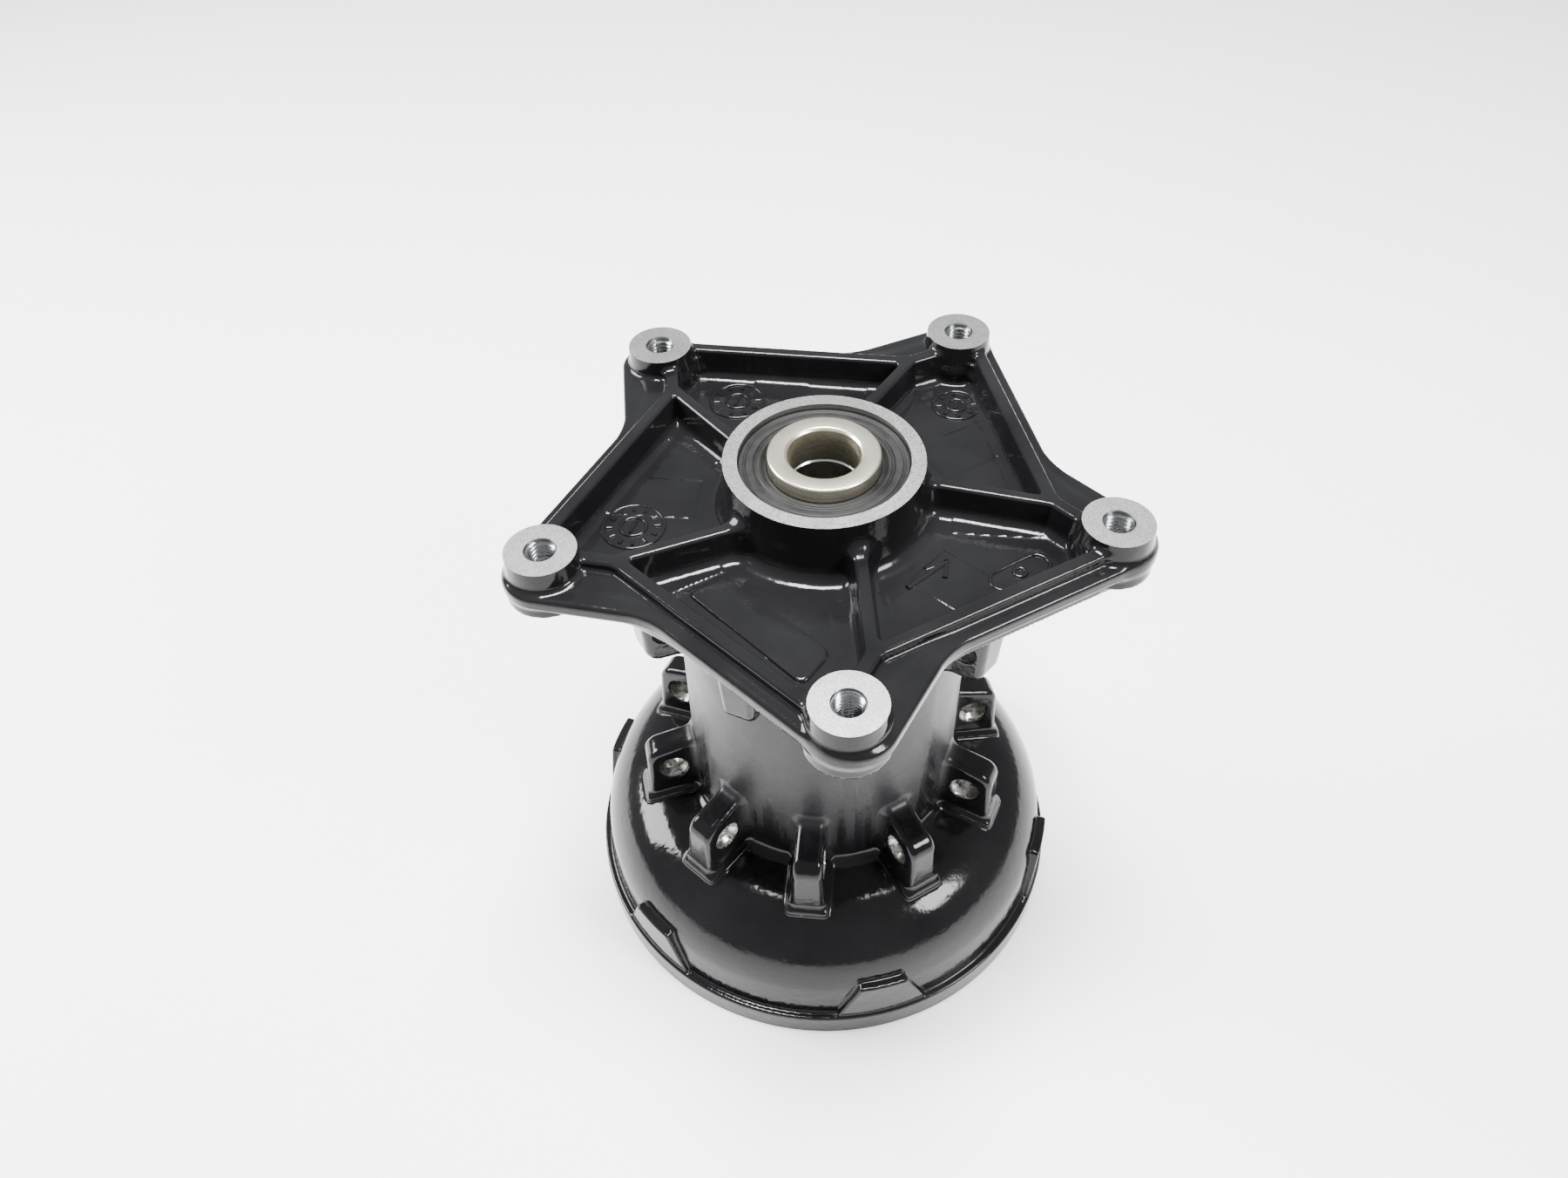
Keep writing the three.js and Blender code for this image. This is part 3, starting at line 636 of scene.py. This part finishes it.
class Nodes:
    """Short way to build a node material with one Principled shader."""

    def __init__(self, name):
        self.material = bpy.data.materials.new(name)
        self.material.use_nodes = True
        self.tree = self.material.node_tree
        self.shader = self.tree.nodes["Principled BSDF"]
        self.place = self.add("ShaderNodeTexCoord").outputs["Object"]

    def add(self, kind, inputs=None, **settings):
        node = self.tree.nodes.new(kind)
        for key, value in settings.items():
            setattr(node, key, value)
        for key, value in (inputs or {}).items():
            self.feed(node.inputs[key], value)
        return node

    def feed(self, socket, value):
        if isinstance(value, bpy.types.NodeSocket):
            self.tree.links.new(value, socket)
        else:
            socket.default_value = value

    def set(self, **values):
        for key, value in values.items():
            self.feed(self.shader.inputs[key.replace("_", " ")], value)

    def noise(self, scale, detail=3.0, roughness=0.55, place=None):
        source = self.place if place is None else place
        inputs = {"Vector": source, "Scale": scale, "Detail": detail, "Roughness": roughness}
        return self.add("ShaderNodeTexNoise", inputs).outputs["Fac"]

    def ramp(self, value, stops):
        node = self.add("ShaderNodeValToRGB", {"Fac": value})
        elements = node.color_ramp.elements
        while len(elements) < len(stops):
            elements.new(0.5)
        for element, (at, colour) in zip(elements, stops):
            element.position = at
            element.color = colour if len(colour) == 4 else (*colour, 1)
        return node.outputs["Color"]

    def scale(self, value, low, high, new_low, new_high):
        inputs = {"Value": value, 1: low, 2: high, 3: new_low, 4: new_high}
        return self.add("ShaderNodeMapRange", inputs).outputs["Result"]

    def mix(self, share, first, second):
        node = self.add("ShaderNodeMix", data_type="RGBA")
        self.feed(node.inputs[0], share)
        self.feed(node.inputs[6], first if not isinstance(first, tuple) else (*first, 1))
        self.feed(node.inputs[7], second if not isinstance(second, tuple) else (*second, 1))
        return node.outputs[2]

    def maths(self, operation, a, b=0.0):
        return self.add("ShaderNodeMath", {0: a, 1: b}, operation=operation).outputs[0]

    def bump(self, height, strength, distance, after=None):
        inputs = {"Height": height, "Strength": strength, "Distance": distance}
        if after is not None:
            inputs["Normal"] = after
        return self.add("ShaderNodeBump", inputs).outputs["Normal"]


def grey(value):
    return (value, value, value)


def paint_material():
    """Deep gloss black over cast aluminium, with bare metal in the spoke seats and bores."""
    n = Nodes("gloss_black_casting")
    bare = n.add("ShaderNodeAttribute", attribute_name="bare").outputs["Fac"]
    satin_and_painted_reflection = n.add("ShaderNodeAttribute", attribute_name="satin_and_painted_reflection").outputs["Fac"]
    ragged = n.maths("ADD", bare, n.scale(n.noise(900.0), 0.3, 0.7, -0.12, 0.12))
    metal = n.scale(ragged, 0.02, 0.12, 1.0, 0.0)
    cloud = n.scale(n.noise(35.0), 0.3, 0.7, 0, 1)
    paint = n.mix(cloud, (0.0035, 0.0035, 0.004), (0.007, 0.007, 0.0075))
    # The barrel's paint is rougher (a real satin finish) and lighter in colour; the lighter colour is a
    # painted reflection of the pale floor.
    paint = n.mix(satin_and_painted_reflection, paint, (0.012, 0.012, 0.013))
    alloy = n.mix(n.noise(2500.0), (0.30, 0.29, 0.27), (0.52, 0.51, 0.47))
    n.set(Base_Color=n.mix(metal, paint, alloy), Metallic=metal)
    gloss = n.scale(n.noise(60.0, 4.0), 0.3, 0.75, 0.07, 0.17)
    gloss = n.maths("ADD", gloss, n.maths("MULTIPLY", satin_and_painted_reflection, 0.24))
    n.set(Roughness=n.maths("ADD", gloss, n.maths("MULTIPLY", metal, 0.2)))
    swell = n.bump(n.noise(150.0, 2.0), 0.10, 0.001)
    peel = n.bump(n.noise(480.0, 1.5), 0.14, 0.0004, swell)
    n.set(Normal=n.bump(n.noise(1800.0, 2.0), 0.06, 0.0002, peel), IOR=1.31)
    return n.material


def machined_material():
    """Face-milled aluminium: pale, fine speckle and faint stains."""
    n = Nodes("machined_aluminium")
    speck = n.noise(3200.0, 2.0)
    stain = n.noise(110.0, 4.0)
    colour = n.ramp(speck, [(0.3, grey(0.12)), (0.5, grey(0.28)), (0.7, grey(0.42))])
    colour = n.mix(n.scale(stain, 0.5, 0.7, 0, 0.6), colour, (0.22, 0.21, 0.19))
    n.set(Base_Color=colour, Metallic=1.0, Roughness=n.scale(speck, 0.2, 0.8, 0.32, 0.52))
    n.set(Normal=n.bump(speck, 0.2, 0.0001))
    return n.material


def turned_steel(name, light, dark, smoothness, ring_scale=0.0):
    """Turned or ground steel; rings run round the axle."""
    n = Nodes(name)
    parts = n.add("ShaderNodeSeparateXYZ", {"Vector": n.place}).outputs
    squares = [n.maths("POWER", part, 2.0) for part in (parts[0], parts[1])]
    radius = n.maths("SQRT", n.maths("ADD", *squares))
    ring = n.add("ShaderNodeCombineXYZ", {0: radius, 1: 0.0, 2: parts[2]}).outputs[0]
    lines = n.noise(6000.0, 2.0, place=ring)
    patch = n.noise(140.0, 4.0)
    colour = n.mix(n.scale(patch, 0.35, 0.7, 0, 1), light, dark)
    n.set(Base_Color=colour, Metallic=1.0)
    n.set(Roughness=n.scale(lines, 0.3, 0.7, smoothness, smoothness + 0.12))
    n.set(Normal=n.bump(lines, 0.15 + ring_scale, 0.00008))
    return n.material


def rubber_material(name, value, smoothness):
    n = Nodes(name)
    patch = n.noise(160.0, 4.0)
    colour = n.mix(n.scale(patch, 0.35, 0.7, 0, 1), grey(value), grey(value * 1.9))
    n.set(Base_Color=colour, Roughness=n.scale(patch, 0.3, 0.7, smoothness, smoothness + 0.2))
    n.set(Normal=n.bump(n.noise(2200.0, 2.0), 0.15, 0.0002), IOR=1.28)
    return n.material


def nylon_material():
    n = Nodes("cage_nylon")
    speck = n.noise(1800.0, 3.0)
    n.set(Base_Color=n.mix(speck, (0.30, 0.22, 0.12), (0.42, 0.33, 0.2)), Roughness=0.5)
    n.set(Normal=n.bump(speck, 0.1, 0.0002))
    return n.material


# ---------------------------------------------------------------- turned pieces


def revolve(name, profile, body, node, material, steps=160, centre=(0.0, 0.0)):
    """A turned ring from a closed [radius, height] profile in millimetres, replacing a CAD node."""
    count = len(profile)
    angle = np.linspace(0, 2 * math.pi, steps, endpoint=False)
    r = np.array([p[0] for p in profile])
    z = np.array([p[1] for p in profile])
    points = np.stack([
        centre[0] + np.outer(np.cos(angle), r),
        centre[1] + np.outer(np.sin(angle), r),
        np.outer(np.ones(steps), z),
    ], -1).reshape(-1, 3) * MM
    index = np.arange(steps * count).reshape(steps, count)
    after = np.roll(index, -1, 0)
    faces = np.stack([index, after, np.roll(after, -1, 1), np.roll(index, -1, 1)], -1).reshape(-1, 4)
    area = sum(r[i] * z[(i + 1) % count] - r[(i + 1) % count] * z[i] for i in range(count))
    if area < 0:
        faces = faces[:, ::-1]
    mesh = mesh_from_arrays(name, points, faces)
    mesh.polygons.foreach_set("use_smooth", np.ones(len(mesh.polygons), bool))
    mesh.set_sharp_from_angle(angle=math.radians(38))
    piece = add_object(name, mesh)
    piece.data.materials.append(material)
    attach(piece, body)
    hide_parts(node)
    return piece


def rounded(corners, radius=0.4, steps=3):
    """Closed profile with its corners rounded off."""
    result = []
    count = len(corners)
    for i, here in enumerate(corners):
        here = np.array(here, float)
        before = np.array(corners[i - 1], float) - here
        after = np.array(corners[(i + 1) % count], float) - here
        reach = min(radius, 0.4 * np.linalg.norm(before), 0.4 * np.linalg.norm(after))
        start = here + before / np.linalg.norm(before) * reach
        end = here + after / np.linalg.norm(after) * reach
        for k in range(steps + 1):
            t = k / steps
            result.append(tuple((1 - t) ** 2 * start + 2 * t * (1 - t) * here + t * t * end))
    return result


def make_seal(material):
    """Rubber-covered shaft seal: flat outer band, moulded steps, and a lip on the bush."""
    top = SEAL_TOP
    profile = rounded([
        (23.0, 171.0), (23.45, 171.6), (23.45, top - 0.5), (23.0, top), (22.2, top),
        (21.9, top - 0.35), (21.5, top - 0.35), (21.2, top), (19.3, top), (19.0, top - 0.5),
        (18.5, top - 0.5), (18.2, top - 0.1), (17.4, top - 0.2), (16.6, top - 1.3),
        (15.9, top - 0.7), (15.55, top - 1.0), (15.6, top - 1.6), (16.2, top - 3.0),
        (21.6, top - 3.5), (21.6, 171.0),
    ], 0.22, 2)
    revolve("shaft_seal", profile, "hub", "disc_side_shaft_seal", material)


def race_groove(middle, side, degrees):
    """Round groove for the balls, in a ring outside (1) or inside (-1) their circle."""
    return [
        (BALL_CIRCLE + side * RACE_RADIUS * math.cos(a), middle + RACE_RADIUS * math.sin(a))
        for a in np.radians(degrees)
    ]


def make_axle_parts(bush_steel, tube_steel, ring_steel):
    bush = rounded([
        (13.4, 170.6), (15.4, 172.2), (15.4, 181.1), (15.0, 181.5), (10.7, 181.5),
        (10.0, 180.8), (10.0, 170.6),
    ], 0.15, 2)
    revolve("spacer_bush_turned", bush, "axle_sleeve", "spacer_bush", bush_steel)
    tube = rounded([(14.0, 41.1), (14.0, 156.4), (10.15, 156.4), (10.15, 41.1)], 0.4, 2)
    revolve("distance_tube_drawn", tube, "axle_sleeve", "distance_tube", tube_steel)
    for side, bottom in (("disc", DISC_BEARING_BOTTOM), ("drive", DRIVE_BEARING_BOTTOM)):
        top = bottom + BEARING_WIDTH
        groove = race_groove(bottom + BEARING_WIDTH // 2, -1, range(-52, 53, 8))
        profile = [(13.6, bottom), (14.1, bottom + 0.5), *groove, (14.1, top - 0.5), (13.6, top),
                   (10.6, top), (10.0, top - 0.6), (10.0, bottom + 0.6), (10.6, bottom)]
        revolve(f"{side}_inner_ring_ground", profile, "axle_sleeve", f"{side}_bearing_inner_ring",
                ring_steel)


def make_bearing(side, bottom, steel, rubber, nylon):
    middle, top = bottom + BEARING_WIDTH // 2, bottom + BEARING_WIDTH
    groove = race_groove(middle, 1, range(50, -51, -8))
    profile = [(22.8, bottom), (23.4, bottom + 0.6), (23.4, top - 0.6), (22.8, top), (19.9, top),
               (19.4, top - 0.5), *groove, (19.4, bottom + 0.5), (19.9, bottom)]
    revolve(f"{side}_outer_ring_ground", profile, "hub", f"{side}_bearing_outer_ring",
            steel)
    for place, height, out in (("lower", middle - 6, -1), ("upper", middle + 6, 1)):
        shield = rounded([
            (14.4, height - 0.4 * out), (14.4, height + 0.1 * out), (14.9, height + 0.4 * out),
            (16.2, height + 0.4 * out), (16.6, height + 0.1 * out), (17.4, height + 0.1 * out),
            (17.8, height + 0.4 * out), (19.0, height + 0.4 * out), (19.2, height + 0.1 * out),
            (19.2, height - 0.4 * out),
        ], 0.15, 2)
        revolve(f"{side}_{place}_seal_moulded", shield, "hub", f"{side}_bearing_{place}_seal",
                rubber)
    make_cage(side, middle, nylon)
    for i in range(BALLS):
        make_ball(side, i, middle, steel)


def make_cage(side, middle, nylon):
    """Ball cage: two rails joined by posts that curve round the balls."""
    around = 240
    angle = np.linspace(0, 2 * math.pi, around, endpoint=False)
    from_ball = np.abs((np.degrees(angle) + 90) % 45)
    from_ball = np.minimum(from_ball, 45 - from_ball) / 22.5
    inner_edge = np.where(from_ball < 0.62, 4.25 * np.sqrt(np.maximum(1 - (from_ball / 0.62) ** 2, 0)), 0.0)
    pieces = []
    for half in (1, -1):
        loop = []
        for r, at in ((15.7, 0), (15.7, 1), (17.8, 1), (17.8, 0)):
            height = np.where(at, 5.05, np.minimum(inner_edge + 0.05, 4.3)) * half + middle
            loop.append(np.stack([np.cos(angle) * r, np.sin(angle) * r, height], -1))
        pieces.append(np.stack(loop, 1))
    points = np.concatenate([p.reshape(-1, 3) for p in pieces]) * MM
    faces = []
    for k, half in enumerate((1, -1)):
        index = np.arange(around * 4).reshape(around, 4) + k * around * 4
        after = np.roll(index, -1, 0)
        quad = np.stack([index, after, np.roll(after, -1, 1), np.roll(index, -1, 1)], -1).reshape(-1, 4)
        faces.append(quad if half == -1 else quad[:, ::-1])
    mesh = mesh_from_arrays(f"{side}_cage_moulded", points, np.concatenate(faces))
    piece = add_object(f"{side}_cage_moulded", mesh)
    piece.data.materials.append(nylon)
    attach(piece, f"{side}_cage")
    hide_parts(f"{side}_bearing_cage")


def make_ball(side, number, middle, steel):
    name = f"{side}_ball_polished_{number + 1}"
    mesh = bpy.data.meshes.new(name)
    bm = bmesh.new()
    bmesh.ops.create_icosphere(bm, subdivisions=4, radius=BALL_RADIUS * MM)
    angle = FRONT + number * 2 * math.pi / BALLS
    place = (BALL_CIRCLE * math.cos(angle), BALL_CIRCLE * math.sin(angle), middle)
    bmesh.ops.translate(bm, verts=bm.verts, vec=Vector(place) * MM)
    for f in bm.faces:
        f.smooth = True
    bm.to_mesh(mesh)
    bm.free()
    piece = add_object(name, mesh)
    piece.data.materials.append(steel)
    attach(piece, f"{side}_cage")
    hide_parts(f"{side}_bearing_ball_{number + 1}")


def make_thread(number, steel):
    """Wire thread insert: a real helical thread inside a thin sleeve."""
    angle0 = FRONT + number * 2 * math.pi / ARMS
    cx, cy = BOSS_CIRCLE * math.cos(angle0), BOSS_CIRCLE * math.sin(angle0)
    pitch, around, turns = THREAD_PITCH, 48, 10
    top = BOSS_TOP - 0.8
    rows = turns * 8
    height = np.linspace(0, pitch * turns, rows + 1)
    angle = np.linspace(0, 2 * math.pi, around, endpoint=False)
    phase = (height[:, None] / pitch - angle[None] / (2 * math.pi)) % 1.0
    tooth = np.clip(np.abs(phase - 0.5) * 2 * 1.25 - 0.1, 0, 1)
    radius = 3.35 + 0.65 * tooth
    radius[0], radius[-1] = 3.9, 3.9
    inner = np.stack([radius * np.cos(angle), radius * np.sin(angle), top - height[:, None] + 0 * angle], -1)
    ring_top = np.stack([4.2 * np.cos(angle), 4.2 * np.sin(angle), top + 0 * angle], -1)[None]
    ring_low = ring_top - np.array([0, 0, pitch * turns])
    rings = np.concatenate([ring_top, inner, ring_low], 0) + np.array([cx, cy, 0])
    total = len(rings)
    index = np.arange(total * around).reshape(total, around)
    below = np.roll(index, -1, 0)
    faces = np.stack([index, below, np.roll(below, -1, 1), np.roll(index, -1, 1)], -1).reshape(-1, 4)
    name = f"thread_coil_{number + 1}"
    mesh = mesh_from_arrays(name, rings.reshape(-1, 3) * MM, faces)
    mesh.polygons.foreach_set("use_smooth", np.ones(len(mesh.polygons), bool))
    mesh.set_sharp_from_angle(angle=math.radians(50))
    piece = add_object(name, mesh)
    # The steel passed in is darkened to paint the shade inside the threaded hole.
    piece.data.materials.append(steel)
    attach(piece, "hub")
    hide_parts(f"thread_insert_{number + 1}")


# ---------------------------------------------------------------- cast marks in the pockets


def spot(radius, angle):
    """A point in plan from its radius and its angle from the first boss, in degrees."""
    turn = FRONT + math.radians(angle)
    return np.array([radius * math.cos(turn), radius * math.sin(turn)])


def finish_mark(name, mesh, paint):
    count = len(mesh.vertices)
    add_layer(mesh, "bare", np.full(count, 5.0))
    mesh.polygons.foreach_set("use_smooth", np.ones(len(mesh.polygons), bool))
    piece = add_object(name, mesh)
    mesh.materials.append(paint)
    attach(piece, "hub")
    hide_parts("disc_carrier")


def raised_lines(name, lines, width, paint):
    """Half-round ridges on a pocket floor. Each line is (points, closed)."""
    curve = bpy.data.curves.new(name, "CURVE")
    curve.dimensions = "3D"
    curve.bevel_depth = width / 2 * MM
    curve.bevel_resolution = 3
    curve.use_fill_caps = True
    for points, closed in lines:
        spline = curve.splines.new("POLY")
        spline.points.add(len(points) - 1)
        spline.use_cyclic_u = closed
        for point, (x, y) in zip(spline.points, points):
            point.co = (x * MM, y * MM, (POCKET_FLOOR - 0.05) * MM, 1)
    drawn = bpy.data.objects.new(name, curve)
    mesh = bpy.data.meshes.new_from_object(drawn)
    bpy.data.objects.remove(drawn)
    finish_mark(name, mesh, paint)


def circle(centre, radius, start=0.0, end=360.0):
    closed = end - start >= 360
    angles = np.radians(np.arange(start, end + (0 if closed else 0.1), 10))
    return [centre + radius * np.array([math.cos(a), math.sin(a)]) for a in angles], closed


def dial(name, centre, radius, ticks, paint):
    """Round foundry stamp: a rim, ticks like a clock's and a blank hand."""
    lines = [circle(centre, radius)]
    for i in range(ticks):
        a = math.radians(360 * i / ticks)
        out = np.array([math.cos(a), math.sin(a)])
        lines.append(([centre + out * radius * 0.68, centre + out * radius * 0.86], False))
    lines.append(circle(centre, radius * 0.42))
    a = math.radians(70)
    hand = np.array([math.cos(a), math.sin(a)]) * radius * 0.3
    lines.append(([centre - hand, centre + hand], False))
    raised_lines(name, lines, 1.1, paint)


def raised_plate(name, corners, paint):
    """Blank raised panel with soft edges."""
    flat = rounded(corners, 3.0, 5)
    middle = np.mean(flat, 0)
    loops = []
    for inset, height in ((0.0, -0.4), (0.3, 0.1), (0.7, 0.55), (1.1, 0.75), (1.7, 0.8)):
        away = np.array(flat) - middle
        length = np.linalg.norm(away, axis=1)[:, None]
        loop = middle + away * (1 - inset / length)
        loops.append(np.column_stack([loop, np.full(len(loop), POCKET_FLOOR + height)]))
    points = np.array(loops).reshape(-1, 3) * MM
    count = len(flat)
    index = np.arange(len(loops) * count).reshape(len(loops), count)
    around = np.roll(index, -1, 1)
    mesh = bpy.data.meshes.new(name)
    bands = np.stack([index[:-1], around[:-1], around[1:], index[1:]], -1).reshape(-1, 4).tolist()
    mesh.from_pydata(points.tolist(), [], bands + [index[-1].tolist()])
    bm = bmesh.new()
    bm.from_mesh(mesh)
    bmesh.ops.recalc_face_normals(bm, faces=bm.faces)
    if bm.faces[len(bm.faces) - 1].normal.z < 0:
        bmesh.ops.reverse_faces(bm, faces=bm.faces)
    bm.to_mesh(mesh)
    bm.free()
    finish_mark(name, mesh, paint)


def make_marks(paint):
    corners = [spot(36.8, 311.8), spot(49.2, 308.5), spot(64.7, 351.6), spot(54.0, 358.4)]
    raised_plate("blank_name_panel", corners, paint)
    dial("dial_mark_left", spot(53.2, 274.7), 8.6, 12, paint)
    dial("dial_mark_back", spot(54.8, 205.0), 8.2, 10, paint)
    dial("dial_mark_right", spot(60.8, 134.5), 6.8, 8, paint)
    pill_ends = ((spot(60.2, 68.4) + spot(65.4, 65.5)) / 2, (spot(49.9, 53.4) + spot(56.8, 49.6)) / 2)
    along = pill_ends[1] - pill_ends[0]
    heading = math.degrees(math.atan2(along[1], along[0]))
    half_width = 3.6
    unit = along / np.linalg.norm(along)
    first, second = pill_ends[0] + unit * half_width, pill_ends[1] - unit * half_width
    outline = circle(first, half_width, heading + 90, heading + 270)[0]
    outline += circle(second, half_width, heading - 90, heading + 90)[0]
    raised_lines("pill_mark", [(outline, True), circle((first + second) / 2, 1.6)], 1.2, paint)
    tail, tip = spot(38.1, 30.8), spot(39.2, 52.8)
    barbs = spot(36.3, 43.5), spot(42.1, 44.8)
    raised_lines("arrow_mark", [([tail, tip], False), ([barbs[0], tip, barbs[1]], False)], 1.8, paint)


# ---------------------------------------------------------------- studio


def make_floor():
    n = Nodes("pale_floor")
    patch = n.noise(3.0, 5.0)
    n.set(Base_Color=n.mix(patch, grey(0.78), grey(0.86)), Roughness=0.6)
    mesh = bpy.data.meshes.new("floor")
    bm = bmesh.new()
    bmesh.ops.create_grid(bm, x_segments=1, y_segments=1, size=4)
    bm.to_mesh(mesh)
    bm.free()
    floor = add_object("floor", mesh)
    floor.data.materials.append(n.material)


def area_light(name, place, target, width, height, power, colour=(1, 1, 1)):
    data = bpy.data.lights.new(name, "AREA")
    data.shape = "RECTANGLE"
    data.size, data.size_y = width, height
    data.energy = power
    data.color = colour
    light = bpy.data.objects.new(name, data)
    bpy.context.scene.collection.objects.link(light)
    light.location = place
    light.rotation_mode = "QUATERNION"
    light.rotation_quaternion = (Vector(target) - Vector(place)).to_track_quat("-Z", "Y")


def make_lights():
    world = bpy.data.worlds.new("studio")
    world.use_nodes = True
    background = world.node_tree.nodes["Background"]
    background.inputs["Color"].default_value = (0.95, 0.97, 1, 1)
    background.inputs["Strength"].default_value = 0.6
    bpy.context.scene.world = world
    area_light("overhead", (0.0, 0.1, 1.2), (0, 0, 0.1), 0.5, 0.35, 72)
    area_light("window", (-1.0, 0.3, 0.7), (0, 0, 0.1), 0.5, 0.6, 38)
    area_light("fill", (0.9, -0.6, 0.9), (0, 0, 0.1), 0.4, 0.4, 26)


# ---------------------------------------------------------------- assembly


def main():
    make_camera()
    ring_steel = turned_steel("ground_bearing_steel", (0.62, 0.63, 0.65), (0.52, 0.53, 0.55), 0.12)
    bush_steel = turned_steel("passivated_bush", (0.74, 0.70, 0.58), (0.62, 0.58, 0.46), 0.24, 0.1)
    tube_steel = turned_steel("oiled_tube", (0.20, 0.19, 0.16), (0.12, 0.11, 0.09), 0.35)
    # The thread inserts' steel gets a dark colour that paints the shade inside the threaded holes.
    thread_steel_painted_shade = turned_steel("stainless_thread_painted_shade", (0.30, 0.31, 0.32), (0.18, 0.185, 0.19), 0.16)
    seal_rubber = rubber_material("seal_rubber", 0.005, 0.4)
    nylon = nylon_material()
    paint = paint_material()
    machined = machined_material()
    for section in make_casting():
        section.data.materials.append(paint)
        section.data.materials.append(machined)
    make_marks(paint)
    for i in range(ARMS):
        make_thread(i, thread_steel_painted_shade)
    make_seal(seal_rubber)
    make_axle_parts(bush_steel, tube_steel, ring_steel)
    make_bearing("disc", DISC_BEARING_BOTTOM, ring_steel, seal_rubber, nylon)
    make_bearing("drive", DRIVE_BEARING_BOTTOM, ring_steel, seal_rubber, nylon)
    cush_rubber = rubber_material("cush_rubber", 0.02, 0.6)
    circlip_steel = turned_steel("circlip_steel", (0.10, 0.10, 0.11), (0.06, 0.06, 0.065), 0.35)
    for name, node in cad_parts.items():
        if name.startswith("cush_rubber"):
            node.data.materials.clear()
            node.data.materials.append(cush_rubber)
        if name.endswith("circlip"):
            node.data.materials.clear()
            node.data.materials.append(circlip_steel)
    make_floor()
    make_lights()


main()
